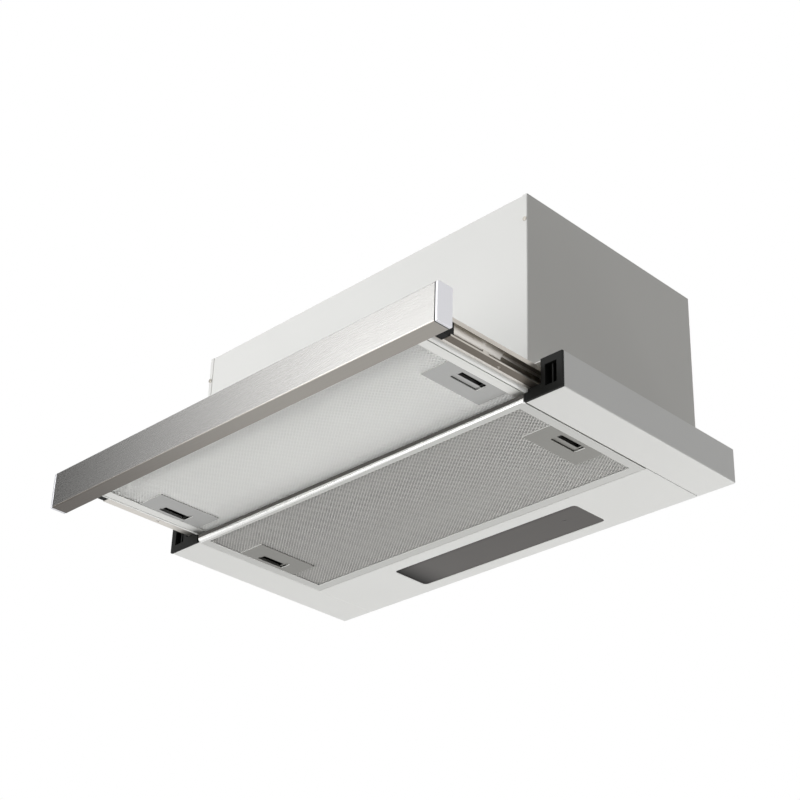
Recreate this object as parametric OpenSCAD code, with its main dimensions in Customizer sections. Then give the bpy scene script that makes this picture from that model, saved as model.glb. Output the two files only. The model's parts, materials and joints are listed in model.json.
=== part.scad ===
// Range hood that builds into a wall cabinet, with a filter tray that pulls out to the front.
// Origin: middle of the four cabinet fixing holes, on the top face of the base.
// X points right, Y to the rear, Z up. The tray is drawn pulled out.

/* [Base] */
// Width of the base
base_w = 598; // [570:1:640]
// Depth of the base
base_d = 280; // [278:1:320]
// Height of the base
base_h = 40; // [40:1:46]
// Thickness of the sheet steel
sheet_t = 0.8; // [0.6:0.1:1.2]
// Width of each side channel
channel_w = 49; // [47:1:54]
// Height of the lip beside the filter
lip_h = 7; // [4:0.5:8]
// Distance from a cabinet fixing hole to the side of the base
fixing_edge = 14; // [10:1:20]
// Distance from front to rear between the cabinet fixing holes
fixing_y = 200; // [150:1:230]
// Diameter of a cabinet fixing hole
fixing_hole_d = 5; // [3.5:0.5:6]

/* [Body] */
// Distance from the side of the base to the body
body_inset = 43; // [42:1:60]
// Depth of the body
body_d = 277; // [270:1:277]
// Height of the body above the base
body_h = 205; // [204:1:240]
// Width of the flanges that lap the front and rear panels
flange_w = 6; // [4:0.5:10]
// Width of the folded feet on the base
foot_w = 9; // [6:0.5:11]
// Diameter of a screw head
screw_head_d = 5; // [4:0.5:6]

/* [Filters] */
// Depth of a filter from front to rear
filter_d = 191; // [180:1:195]
// Thickness of a filter
filter_t = 9; // [8:0.5:9.5]
// Sheet thickness of a filter frame
frame_t = 0.8; // [0.6:0.1:1]
// Frame width at the two short sides
frame_side = 12; // [9:0.5:15]
// Frame width at the rear
frame_rear = 12; // [9:0.5:15]
// Frame width at the front
frame_front = 8; // [6:0.5:12]
// Openings of the mesh along the filter
mesh_columns = 26; // [12:1:26]
// Openings of the mesh from front to rear
mesh_rows = 11; // [5:1:11]
// Width of the strands between the openings
strand_w = 3; // [2:0.25:5]
// Width of a latch plate
plate_w = 37; // [34:0.5:42]
// Length of a latch plate
plate_l = 83; // [60:1:95]
// Width of the finger slot
slot_w = 15; // [13:0.5:16]
// Length of the finger slot
slot_l = 38; // [30:0.5:44]
// Width of the well that a fingertip reaches into
well_w = 8; // [6:0.5:9]
// Travel of a filter latch
latch_travel = 6; // [4:0.5:7]

/* [Tray] */
// Distance that the tray pulls out
travel = 150; // [120:1:155]
// Length of the tray sides
tray_l = 260; // [250:1:262]
// Length of the glass that covers the tray
cover_l = 200; // [180:1:210]
// Thickness of the glass that covers the tray
cover_t = 3; // [2:0.5:4]
// Height of the tray
tray_h = 24; // [22:0.5:26]
// Distance from each end of the front panel to the side of the base
panel_inset = 2; // [1:0.5:6]
// Height of the front panel
panel_h = 43; // [36:0.5:50]
// Depth of the front panel
panel_d = 20; // [12:0.5:28]
// Height that the front panel reaches above the underside of the base
panel_top = 39; // [30:0.5:39]

/* [Slides] */
// Height of a slide
slide_h = 21; // [20:0.5:24]
// Depth of a slide
slide_w = 13; // [12:0.5:14]
// Wall thickness of the slide profiles
slide_t = 1.2; // [1:0.1:1.4]
// Height of the runner's upper lip
runner_lip = 5; // [3:0.5:6]
// Height of the runner's lower lip
runner_sill = 2; // [1.5:0.5:3]
// Diameter of the balls
ball_d = 3.2; // [2.4:0.1:3.4]
// Balls in one row
balls_in_row = 5; // [3:1:5]
// Distance from ball to ball
ball_pitch = 13; // [6:0.5:13]
// Length of the fixed rail
rail_l = 234; // [200:1:238]
// Length of the brackets inside the runners
bracket_l = 34; // [20:1:34]

/* [Light] */
// Width of the light window
window_w = 277; // [200:1:320]
// Depth of the light window
window_d = 53; // [40:1:56]
// Corner radius of the light window
window_r = 5; // [2:0.5:10]
// Diodes in the light
led_count = 12; // [6:1:14]

/* [Blower] */
// Distance from the blower wheel to the tongue of its housing
tongue_gap = 9; // [7:0.5:14]
// Width of the blower wheel
wheel_w = 106; // [90:1:110]
// Blades of the blower wheel
blade_count = 36; // [24:1:40]
// Depth of a blade
blade_depth = 15; // [11:0.5:16]
// Width of the blower housing
scroll_w = 122; // [118:1:140]
// Wall thickness of the blower housing
scroll_t = 2; // [1.6:0.1:2.5]
// Radius of the motor
motor_r = 36; // [30:1:42]
// Radius of the motor shaft
shaft_r = 4; // [3:0.25:5]
// Outside radius of the duct outlet
duct_r = 60; // [50:0.5:61]
// Height of the duct outlet
duct_h = 45; // [35:1:60]

/* [Hidden] */

$fn = 48;
bit = 0.01;
play = 0.3;
bolt_play = 0.05;

half_w = base_w / 2;
fixing_x = base_w - 2 * fixing_edge;
cap_t = 3;
rim_t = sheet_t;
bend_in = sheet_t;
bend_r = bend_in + sheet_t / 2;
side_bend_r = 2.6;
side_bend_out = side_bend_r + sheet_t / 2;
front_y = -base_d / 2;
rear_y = base_d / 2;
low_z = -base_h;
channel_in = half_w - channel_w;
side_x = channel_in + 4.7;
bay_room = 3.3;
bay_wall_x = side_x + slide_w + bay_room;

body_front_y = front_y - sheet_t;
body_rear_y = body_front_y + body_d;
body_w = base_w - 2 * body_inset;
body_x = body_w / 2;

filter_play = 0.5;
filter_w = 2 * (channel_in - filter_play);
filter_y = front_y + filter_play + filter_d / 2;
plate_out = frame_side + filter_play;
plate_t = 1.3;
slider_t = 2;
slider_gap = 0.3;
slider_z = frame_t + slider_gap + frame_t;
pocket_h = 5;
layer_count = 3;
layer_t = 0.6;
layer_pitch = 2;

tray_z = low_z + filter_t + 1;
tray_front_y = front_y - travel;
tray_top_z = tray_z + tray_h;
tray_filter_y = tray_front_y + 2 * sheet_t + 1 + filter_d / 2;
panel_back_y = tray_front_y - play;
panel_z = low_z + panel_top - panel_h;
panel_w = base_w - 2 * panel_inset;

slide_z = tray_z + 3;
raceway = slide_t + play + ball_d / 2;
rail_foot = raceway + ball_d / 2 + play;
runner_x = side_x;
rail_x = runner_x + 8.5;
ball_x = runner_x + 5.7;
cage_l = balls_in_row * ball_pitch;
rail_y = front_y + bracket_l + 2;
cage_y = rail_y + 2 + cage_l / 2;

window_y = rear_y - 17 - window_d / 2;
rear_plate_y = filter_y + filter_d / 2 + filter_play;
light_h = 22;

scroll_gap = 6.6;
scroll_floor_gap = 3.2;
scroll_growth = 34;
tongue_angle = 60;
scroll_step = 6;
scroll_small = (body_h - scroll_gap - scroll_floor_gap - 0.8 * scroll_growth) / 2;
scroll_large = scroll_small + scroll_growth;
wheel_y = front_y + sheet_t + scroll_gap + scroll_small + 0.4 * scroll_growth;
wheel_z = scroll_floor_gap + scroll_small + 0.7 * scroll_growth;
wheel_r = scroll_small - tongue_gap;
inlet_r = wheel_r - 17;
duct_mid_y = wheel_y + scroll_large - 44;

// Base

module rounded_plate(w, d, r) {
    // rectangle with round corners, made of squares and circles
    union() {
        square([w - 2 * r, d], center = true);
        square([w, d - 2 * r], center = true);
        for (x = [-1, 1], y = [-1, 1])
            translate([x * (w / 2 - r), y * (d / 2 - r)])
                circle(r);
    }
}

module quarter_bend(centre, toward, r, t) {
    // quarter of a ring round the centre, in the quadrant that toward names
    reach = r + t;
    translate(centre)
        difference() {
            circle(r + t / 2);
            circle(r - t / 2);
            translate([toward[0] > 0 ? -reach : 0, -reach])
                square([reach, 2 * reach]);
            translate([-reach, toward[1] > 0 ? -reach : 0])
                square([2 * reach, reach]);
        }
}

function along(from, to) = (to - from) / norm(to - from);

module folded_sheet(corners, r, t) {
    // section of a sheet whose middle runs through the corners, square to the axes, bent with the radius r
    last = len(corners) - 1;
    union() {
        for (i = [0 : last - 1]) {
            run = along(corners[i], corners[i + 1]);
            from = corners[i] + (i > 0 ? r : 0) * run;
            to = corners[i + 1] - (i < last - 1 ? r : 0) * run;
            half = t / 2 * [abs(run[1]), abs(run[0])];
            translate([min(from[0], to[0]), min(from[1], to[1])] - half)
                square([abs(to[0] - from[0]), abs(to[1] - from[1])] + 2 * half);
        }
        for (i = [1 : last - 1]) {
            before = along(corners[i - 1], corners[i]);
            after = along(corners[i], corners[i + 1]);
            quarter_bend(corners[i] + r * (after - before), before - after, r, t);
        }
    }
}

module mirrored(side) {
    // side 1 is right, side -1 is left
    if (side > 0)
        children();
    else
        mirror([1, 0, 0])
            children();
}

module base_top_plate() {
    // plate on top of both channels, pressed down by its own thickness where the body stands, and open under it
    opening_x = body_x - sheet_t - foot_w;
    opening_y0 = front_y + 8;
    opening_y1 = body_rear_y - sheet_t - foot_w;
    step_x = body_x + play;
    step_y = body_rear_y + play;
    color("gainsboro")
        difference() {
            union() {
                translate([-half_w + sheet_t, front_y + cap_t, -sheet_t])
                    cube([base_w - 2 * sheet_t, base_d - cap_t - sheet_t, sheet_t]);
                translate([-step_x - rim_t, front_y, -sheet_t - rim_t])
                    cube([2 * (step_x + rim_t), step_y + rim_t - front_y, rim_t + bit]);
            }
            translate([-step_x, front_y - 1, -sheet_t])
                cube([2 * step_x, step_y - front_y + 1, 2 * sheet_t]);
            translate([-opening_x, opening_y0, -2 * sheet_t - rim_t])
                cube([2 * opening_x, opening_y1 - opening_y0, 3 * sheet_t + rim_t]);
            for (x = [-1, 1], y = [-1, 1])
                translate([x * fixing_x / 2, y * fixing_y / 2, -2 * sheet_t])
                    cylinder(d = fixing_hole_d, h = 3 * sheet_t);
        }
}

module base_channel(side) {
    // folded channel: floor, outer wall, lip beside the filter, the wall that carries the slide and a tab at the rear
    channel_l = base_d - cap_t;
    tab_x = channel_in + 2 * sheet_t;
    color("gainsboro")
        mirrored(side)
            translate([0, rear_y, low_z])
                rotate([90, 0, 0])
                    union() {
                        linear_extrude(channel_l)
                            union() {
                                folded_sheet([[channel_in + sheet_t / 2, lip_h],
                                              [channel_in + sheet_t / 2, sheet_t / 2],
                                              [half_w - sheet_t / 2, sheet_t / 2],
                                              [half_w - sheet_t / 2, base_h]], bend_r, sheet_t);
                                translate([bay_wall_x, sheet_t / 2])
                                    square([sheet_t, base_h - 1.5 * sheet_t]);
                            }
                        linear_extrude(sheet_t)
                            translate([tab_x, sheet_t / 2])
                                square([half_w - 2 * sheet_t - tab_x, base_h - 1.5 * sheet_t]);
                    }
}

module base_rear_plate() {
    // floor behind the filter with the window for the light and a wall at the rear
    d = rear_y - rear_plate_y;
    color("gainsboro")
        difference() {
            union() {
                translate([-channel_in + bit, rear_plate_y, low_z])
                    cube([2 * channel_in - 2 * bit, d, sheet_t]);
                translate([-channel_in + bit, rear_y - sheet_t, low_z])
                    cube([2 * channel_in - 2 * bit, sheet_t, base_h - sheet_t]);
                translate([-channel_in + bit, rear_plate_y, low_z])
                    cube([2 * channel_in - 2 * bit, sheet_t, lip_h]);
            }
            translate([0, window_y, low_z - sheet_t])
                linear_extrude(3 * sheet_t)
                    rounded_plate(window_w, window_d, window_r);
        }
}

module end_cap(side) {
    // black moulding that closes the front of a channel, with an open pocket and a ledge with a step under the slide
    plug_l = 14;
    wall = 2;
    ledge_h = filter_t + 0.3;
    tower_x = bay_wall_x + 0.5;
    pocket_x = tower_x + 5.5;
    pocket_w = half_w - pocket_x - 7.5;
    pocket_z = low_z + 8;
    pocket_top = base_h - 16.5;
    plug_x = bay_wall_x + sheet_t + play;
    plug_w = half_w - sheet_t - play - plug_x;
    plug_z = low_z + sheet_t + play;
    plug_h = base_h - 2 * sheet_t - 2 * play;
    color("#202120")
        mirrored(side)
            difference() {
                union() {
                    translate([channel_in, front_y, low_z])
                        cube([channel_w, cap_t, ledge_h]);
                    translate([side_x + play, front_y, low_z])
                        cube([tower_x - side_x - play + bit, cap_t, slide_z - play - low_z]);
                    translate([tower_x, front_y, low_z])
                        cube([half_w - tower_x, cap_t, base_h]);
                    translate([plug_x, front_y + bit, plug_z])
                        cube([plug_w, plug_l, plug_h]);
                }
                translate([pocket_x, front_y - 1, pocket_z])
                    cube([pocket_w, plug_l - wall + 1, pocket_top - bit]);
                translate([plug_x + wall, front_y + cap_t + wall, plug_z + wall])
                    cube([pocket_x - plug_x - 2 * wall, plug_l, plug_h - 2 * wall]);
            }
    color("dimgray")
        mirrored(side)
            translate([pocket_x + pocket_w / 2 - 1, front_y + cap_t, pocket_z - bit])
                cube([2, plug_l - wall - cap_t + bit, pocket_top]);
}

// Light

module light_lens() {
    // diffuser with a step that rests on the plate around the window
    step = 3;
    color("#6a6764")
        translate([0, window_y, low_z])
            union() {
                translate([0, 0, sheet_t])
                    linear_extrude(2)
                        rounded_plate(window_w + 2 * step, window_d + 2 * step, window_r + step);
                translate([0, 0, 0.6])
                    linear_extrude(sheet_t)
                        rounded_plate(window_w - 2 * play, window_d - 2 * play, window_r - play);
            }
}

module light_housing() {
    // sheet box over the window
    step = 3;
    room = 1;
    w = window_w + 2 * (step + room + sheet_t);
    d = window_d + 2 * (step + room + sheet_t);
    color("silver")
        translate([0, window_y, low_z + sheet_t])
            difference() {
                linear_extrude(light_h)
                    square([w, d], center = true);
                translate([0, 0, -bit])
                    linear_extrude(light_h - sheet_t + bit)
                        square([w - 2 * sheet_t, d - 2 * sheet_t], center = true);
            }
}

module light_board() {
    // circuit board with a row of diodes that face down
    board_t = 1.6;
    board_w = window_w - 12;
    board_d = 18;
    board_z = low_z + light_h - board_t;
    pitch = board_w / led_count;
    color("ivory")
        translate([-board_w / 2, window_y - board_d / 2, board_z])
            cube([board_w, board_d, board_t]);
    color("khaki")
        for (i = [0 : led_count - 1])
            translate([(i - (led_count - 1) / 2) * pitch - 2.5, window_y - 2.5, board_z - 1.4])
                cube([5, 5, 1.4]);
}

// Body

panel_edge = sheet_t + bend_in + bit;

module body_front_panel() {
    color("#e4e4e2")
        translate([-body_x + panel_edge, front_y, -sheet_t])
            cube([body_w - 2 * panel_edge, sheet_t, body_h + sheet_t]);
}

module body_side(side) {
    // side sheet with flanges that lap the front and the rear, and a foot on the base
    color("#a09f9a")
        mirrored(side)
            union() {
                linear_extrude(body_h)
                    folded_sheet([[body_x - flange_w, body_front_y + sheet_t / 2],
                                  [body_x - sheet_t / 2, body_front_y + sheet_t / 2],
                                  [body_x - sheet_t / 2, body_rear_y - sheet_t / 2],
                                  [body_x - flange_w, body_rear_y - sheet_t / 2]], bend_r, sheet_t);
                translate([body_x - sheet_t, front_y + bend_in, -sheet_t])
                    cube([sheet_t, body_d - 2 * sheet_t - 2 * bend_in, 2 * sheet_t]);
                translate([body_x - sheet_t - foot_w, front_y + 2 * sheet_t, -sheet_t])
                    cube([foot_w + bit, body_d - 5 * sheet_t, sheet_t]);
            }
}

module body_rear_panel() {
    color("gainsboro")
        translate([-body_x + panel_edge, body_rear_y - 2 * sheet_t, -sheet_t])
            cube([body_w - 2 * panel_edge, sheet_t, body_h + sheet_t]);
}

module body_top_panel() {
    // lid between the four walls, with the outlet and the cable hole
    color("gainsboro")
        difference() {
            translate([-body_x + sheet_t + bit, front_y + sheet_t, body_h - sheet_t])
                cube([body_w - 2 * sheet_t - 2 * bit, body_d - 4 * sheet_t, sheet_t]);
            translate([0, duct_mid_y, body_h - 2 * sheet_t])
                cylinder(r = duct_r - scroll_t, h = 3 * sheet_t);
            translate([gland_x, gland_y, body_h - 2 * sheet_t])
                cylinder(r = gland_r, h = 3 * sheet_t);
        }
}

// Filters, drawn about the middle of their underside

module filter_frame_shape() {
    // folded frame: open below and above, with a slot at each short side for the latch
    window_x = filter_w - 2 * frame_side;
    window_l = filter_d - frame_front - frame_rear;
    color("silver")
        difference() {
            translate([-filter_w / 2, -filter_d / 2, 0])
                cube([filter_w, filter_d, filter_t]);
            translate([-filter_w / 2 + frame_t, -filter_d / 2 + frame_t, frame_t])
                cube([filter_w - 2 * frame_t, filter_d - 2 * frame_t, filter_t - 2 * frame_t]);
            translate([-window_x / 2, -filter_d / 2 + frame_front, -1])
                cube([window_x, window_l, filter_t + 2]);
            translate([-filter_w / 2 - 1, -tongue_w / 2 - slider_gap, slider_z - slider_gap])
                cube([filter_w + 2, tongue_w + 2 * slider_gap, slider_t + 2 * slider_gap]);
        }
}

plate_x0 = filter_w / 2 - plate_out - plate_w;
slot_x0 = plate_x0 + 17.5;
well_x = slot_x0 + slot_w - well_w;
grip_h = 3.4;
tongue_w = 24;
slider_x0 = slot_x0 - 2.5;
pocket_x0 = slider_x0 - latch_travel - 2;

module diamond(w, d) {
    polygon([[-w / 2, 0], [0, -d / 2], [w / 2, 0], [0, d / 2]]);
}

module filter_mesh_shape() {
    // expanded metal face with staggered diamonds, and the mesh layers over it
    inner_w = filter_w - 2 * frame_t;
    inner_d = filter_d - 2 * frame_t;
    area_w = filter_w - 2 * frame_side;
    area_d = filter_d - frame_front - frame_rear;
    pitch_x = area_w / mesh_columns;
    pitch_y = area_d / mesh_rows;
    mid_y = (frame_front - frame_rear) / 2;
    keep_x = plate_x0 - pitch_x / 2;
    keep_y = plate_l / 2 + pitch_y / 2;
    color("#a0a09c")
        translate([0, 0, frame_t])
            linear_extrude(frame_t)
                difference() {
                    square([inner_w, inner_d], center = true);
                    for (row = [0 : mesh_rows - 1], column = [0 : mesh_columns - 1]) {
                        shift = row % 2 == 0 ? -0.25 : 0.25;
                        x = (column - (mesh_columns - 1) / 2 + shift) * pitch_x;
                        y = (row - (mesh_rows - 1) / 2) * pitch_y + mid_y;
                        if (abs(x) < keep_x || abs(y) > keep_y)
                            translate([x, y])
                                diamond(pitch_x - strand_w, pitch_y - strand_w);
                    }
                    for (side = [-1, 1])
                        translate([side * (plate_x0 + plate_w / 2), 0])
                            square([plate_w + 2 * bit, plate_l + 2 * bit], center = true);
                    for (side = [-1, 1])
                        translate([side * (plate_x0 + plate_w + 10), 0])
                            square([20 + 4 * bit, tongue_w + 14], center = true);
                }
    color("#8c8c88")
        for (i = [0 : layer_count - 1])
            difference() {
                translate([-inner_w / 2, -inner_d / 2, filter_t - frame_t - layer_t - i * layer_pitch])
                    cube([inner_w, inner_d, layer_t]);
                for (side = [-1, 1])
                    mirrored(side)
                        translate([pocket_x0, -slot_l / 2 - 3, 2 * frame_t - 1])
                            cube([filter_w / 2 - pocket_x0, slot_l + 6, pocket_h]);
            }
}

module filter_latch_plates_shape() {
    // a plate at each short side, with the finger slot that shows the latch
    color("#b4b4b1")
        for (side = [-1, 1])
            mirrored(side)
                translate([0, 0, 2 * frame_t - plate_t])
                    linear_extrude(plate_t)
                        difference() {
                            translate([plate_x0 + plate_w / 2, 0])
                                square([plate_w, plate_l], center = true);
                            translate([slot_x0 + slot_w / 2, 0])
                                rounded_plate(slot_w, slot_l, 2);
                        }
}

module filter_latch_shape(side) {
    // slider with an open well for a fingertip, a grip along the well and a tongue through the frame
    slider_l = slot_l - 4;
    well_l = slider_l - 4;
    grip_t = 1.6;
    slider_x1 = filter_w / 2 - 4;
    color("#c8c8c6")
        mirrored(side)
            union() {
                difference() {
                    translate([slider_x0, -slider_l / 2, slider_z])
                        cube([slider_x1 - slider_x0, slider_l, slider_t]);
                    translate([well_x, -well_l / 2, slider_z - 1])
                        cube([well_w, well_l, slider_t + 2]);
                }
                translate([well_x - grip_t, -well_l / 2, slider_z])
                    cube([grip_t, well_l, grip_h]);
                translate([slider_x1 - bit, -tongue_w / 2, slider_z])
                    cube([filter_w / 2 + 0.2 - slider_x1 + bit, tongue_w, slider_t]);
            }
}

module at_filter() {
    translate([0, filter_y, low_z])
        children();
}

module at_tray_filter() {
    translate([0, tray_filter_y, tray_z])
        children();
}

// Slides

module slide_runner(side) {
    // moving profile, open to the outside: cut back for its bracket, with a stop on its lower lip and two holes
    stop_y = tray_front_y + 72;
    cut_l = bracket_l - 6;
    color("#b9b2a6")
        mirrored(side)
            difference() {
                union() {
                    translate([runner_x, tray_front_y + tray_l, slide_z])
                        rotate([90, 0, 0])
                            linear_extrude(tray_l)
                                union() {
                                    square([slide_t, slide_h]);
                                    square([slide_w, slide_t]);
                                    translate([0, slide_h - slide_t])
                                        square([slide_w, slide_t]);
                                    translate([slide_w - slide_t, 0])
                                        square([slide_t, runner_sill]);
                                    translate([slide_w - slide_t, slide_h - runner_lip])
                                        square([slide_t, runner_lip]);
                                }
                    translate([runner_x + slide_w - slide_t, stop_y, slide_z])
                        cube([slide_t, 8, runner_sill + 3]);
                }
                translate([runner_x + slide_t, tray_front_y - 1, slide_z - 1])
                    cube([slide_w, cut_l + 1, slide_t + runner_sill + 1]);
                translate([runner_x + slide_w / 2, tray_front_y + 101, slide_z - 1])
                    cylinder(r = 2, h = slide_t + 2);
                translate([runner_x - 1, tray_front_y + 61, slide_z + slide_h - slide_t - 2.5])
                    rotate([0, 90, 0])
                        cylinder(r = 1.8, h = slide_t + 2);
            }
}

module slide_rail(side) {
    // fixed profile inside the runner, on three bosses that reach the channel wall
    web_h = slide_h - 2 * rail_foot;
    boss_l = bay_wall_x - rail_x - slide_t;
    color("#c3beb4")
        mirrored(side)
            union() {
                translate([rail_x - 6, rail_y + rail_l, slide_z + rail_foot])
                    rotate([90, 0, 0])
                        linear_extrude(rail_l)
                            union() {
                                translate([6, 0])
                                    square([slide_t, web_h]);
                                square([6 + slide_t, slide_t]);
                                translate([0, web_h - slide_t])
                                    square([6 + slide_t, slide_t]);
                            }
                for (i = [0 : 2])
                    translate([rail_x + slide_t - bit, rail_y + 20 + i * (rail_l - 40) / 2, slide_z + slide_h / 2])
                        rotate([0, 90, 0])
                            cylinder(r = 3, h = boss_l + bit);
            }
}

module slide_cage(side) {
    // thin profile with a hole round each ball
    cage_t = 0.7;
    flange_z = raceway - cage_t / 2;
    cage_x = runner_x + slide_t + 0.4;
    flange_l = 6.4;
    color("#8a867e")
        mirrored(side)
            difference() {
                translate([cage_x, cage_y + cage_l / 2, slide_z + flange_z])
                    rotate([90, 0, 0])
                        linear_extrude(cage_l)
                            union() {
                                square([cage_t, slide_h - 2 * flange_z]);
                                square([flange_l, cage_t]);
                                translate([0, slide_h - 2 * flange_z - cage_t])
                                    square([flange_l, cage_t]);
                            }
                for (i = [0 : balls_in_row - 1])
                    translate([ball_x, cage_y + (i - (balls_in_row - 1) / 2) * ball_pitch, slide_z - 1])
                        cylinder(r = ball_d / 2 + bolt_play, h = slide_h + 2);
            }
}

module slide_balls(side) {
    color("lightgray")
        mirrored(side)
            for (i = [0 : balls_in_row - 1], z = [raceway, slide_h - raceway])
                translate([ball_x, cage_y + (i - (balls_in_row - 1) / 2) * ball_pitch, slide_z + z])
                    sphere(d = ball_d, $fn = 24);
}

// Tray

module tray_side(side) {
    // angle beside the filter with a wide bend, fixed to the runner
    color("#dcdcd9")
        mirrored(side)
            translate([0, tray_front_y + tray_l, tray_z])
                rotate([90, 0, 0])
                    linear_extrude(tray_l)
                        folded_sheet([[channel_in + play, sheet_t / 2],
                                      [side_x - sheet_t / 2, sheet_t / 2],
                                      [side_x - sheet_t / 2, tray_h]], side_bend_r, sheet_t);
}

control_w = 86;
control_d = 24;
control_x = side_x - sheet_t - 18 - control_w;

module tray_cover() {
    // clear glass over the tray, cut out for the controls
    color("#dfe8e6")
        difference() {
            translate([-side_x + sheet_t + bit, tray_front_y + sheet_t, tray_top_z - cover_t])
                cube([2 * (side_x - sheet_t - bit), cover_l, cover_t]);
            translate([control_x, tray_front_y + sheet_t - 1, tray_top_z - 2 * cover_t])
                cube([control_w, control_d + 1, 3 * cover_t]);
        }
}

module tray_front_beam() {
    // angle across the front of the tray, under the cover, cut away at the bends of the tray sides
    w = 2 * (side_x - sheet_t - bit);
    low_w = w - 2 * side_bend_out - 4;
    foot_d = 2 * sheet_t + 0.5;
    color("#dcdcd9")
        union() {
            translate([-w / 2, tray_front_y, tray_z + side_bend_out])
                cube([w, sheet_t, tray_h - side_bend_out]);
            translate([-low_w / 2, tray_front_y, tray_z])
                cube([low_w, sheet_t, side_bend_out + bit]);
            translate([-low_w / 2, tray_front_y, tray_z])
                cube([low_w, foot_d, sheet_t]);
        }
}

module tray_rear_tie() {
    // bar that joins the two tray sides above the light
    w = 2 * (side_x - sheet_t - bit);
    tie_h = 6;
    tie_d = 12;
    color("#dcdcd9")
        translate([0, tray_front_y + tray_l - 2, tray_top_z])
            rotate([0, 90, 0])
                translate([0, 0, -w / 2])
                    linear_extrude(w)
                        union() {
                            translate([0, -tie_d])
                                square([sheet_t, tie_d]);
                            translate([0, -sheet_t])
                                square([tie_h, sheet_t]);
                        }
}

panel_end_t = 3;
panel_mid_y = panel_back_y - panel_d / 2;
panel_mid_z = panel_z + panel_h / 2;

module front_panel() {
    // folded steel shell, open to the rear between its lips
    lip = 7;
    half_t = sheet_t / 2;
    color("#c9c8c6")
        translate([-panel_w / 2 + panel_end_t, 0, 0])
            along_x(panel_back_y, panel_z)
                linear_extrude(panel_w - 2 * panel_end_t)
                    folded_sheet([[-half_t, lip],
                                  [-half_t, half_t],
                                  [-panel_d + half_t, half_t],
                                  [-panel_d + half_t, panel_h - half_t],
                                  [-half_t, panel_h - half_t],
                                  [-half_t, panel_h - lip]], bend_r, sheet_t);
}

module front_panel_ends() {
    // moulded end pieces, each with a rim that plugs into the shell
    rim_l = 8;
    rim_wall = 1.6;
    rim_d = panel_d - 2 * sheet_t;
    rim_h = panel_h - 2 * sheet_t;
    rim_r = bend_in + 0.2;
    color("#d4d4d8")
        for (side = [-1, 1])
            mirrored(side)
                along_x(panel_mid_y, panel_mid_z)
                    union() {
                        translate([0, 0, panel_w / 2 - panel_end_t])
                            linear_extrude(panel_end_t)
                                rounded_plate(panel_d, panel_h, bend_r + sheet_t / 2);
                        translate([0, 0, panel_w / 2 - panel_end_t - rim_l])
                            linear_extrude(rim_l + bit)
                                difference() {
                                    rounded_plate(rim_d, rim_h, rim_r);
                                    square([rim_d - 2 * rim_wall, rim_h - 2 * rim_wall], center = true);
                                }
                    }
}

module runner_bracket(side) {
    // black moulding that joins a runner to the front panel, with a shoe that shows where the runner is cut back
    h = slide_h - 2 * slide_t - 0.4;
    w = slide_w - 2 * slide_t - 0.4;
    shoe_l = bracket_l - 6 - play;
    tab_t = 3;
    tab_rise = sheet_t + bend_in + bit;
    color("#1c1c1b")
        mirrored(side)
            union() {
                translate([runner_x + slide_t, tray_front_y, slide_z + slide_t + 0.2])
                    cube([w, bracket_l, h]);
                translate([runner_x + slide_t, panel_back_y - sheet_t - tab_t, slide_z + slide_t + 0.2])
                    cube([w, tab_t + sheet_t + play + bit, 12]);
                translate([runner_x + slide_t, tray_front_y, slide_z])
                    cube([w, shoe_l, slide_t + 0.2 + bit]);
                translate([runner_x - 30, panel_back_y - sheet_t - tab_t, panel_z + tab_rise])
                    cube([60, tab_t, panel_h - 2 * tab_rise]);
            }
}

module control_housing() {
    // box with two slots for the sliders
    depth = 12;
    wall = 2;
    color("#303030")
        difference() {
            translate([control_x + play, tray_front_y + sheet_t + play, tray_top_z - depth])
                cube([control_w - 2 * play, control_d - 2 * play, depth]);
            translate([control_x + wall, tray_front_y + sheet_t + wall, tray_top_z - depth + wall])
                cube([control_w - 2 * wall, control_d - 2 * wall, depth - 2 * wall]);
            for (i = [0, 1])
                translate([control_slot_x(i), control_slot_y, tray_top_z - wall - 1])
                    cube([control_slot_l, control_slot_w, wall + 2]);
        }
}

control_slot_l = 26;
control_slot_w = 6;
control_slot_y = tray_front_y + sheet_t + (control_d - control_slot_w) / 2;
knob_l = 8;
slider_travel = [16, 8];
function control_slot_x(i) = control_x + 10 + i * 40;

module control_slider(i) {
    // knob above the slot, neck through it and a foot below
    x = control_slot_x(i) + 1;
    color("#2a2a2a")
        union() {
            translate([x, control_slot_y - 1, tray_top_z + play])
                cube([knob_l, control_slot_w + 2, 2.2]);
            translate([x + 1, control_slot_y + 1, tray_top_z - 4])
                cube([knob_l - 2, control_slot_w - 2, 4 + 2 * play]);
            translate([x, control_slot_y - 1, tray_top_z - 5])
                cube([knob_l, control_slot_w + 2, 2.4]);
        }
}

// Blower

function scroll_r(a) = scroll_small + (scroll_large - scroll_small) * (a - tongue_angle) / (360 - tongue_angle);

function scroll_outline(t) = concat(
    [for (a = [tongue_angle : scroll_step : 360])
        [(scroll_r(a) - t) * cos(a), (scroll_r(a) - t) * sin(a)]],
    [[scroll_large - t, body_h - sheet_t - wheel_z + (t > 0 ? 1 : 0)],
     [scroll_small * cos(tongue_angle) + t, body_h - sheet_t - wheel_z + (t > 0 ? 1 : 0)],
     [scroll_small * cos(tongue_angle) + t, (scroll_small - t) * sin(tongue_angle)]]);

module along_x(y, z) {
    // turns a drawing of the YZ plane upright and sets it at y and z
    translate([0, y, z])
        rotate([90, 0, 90])
            children();
}

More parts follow.
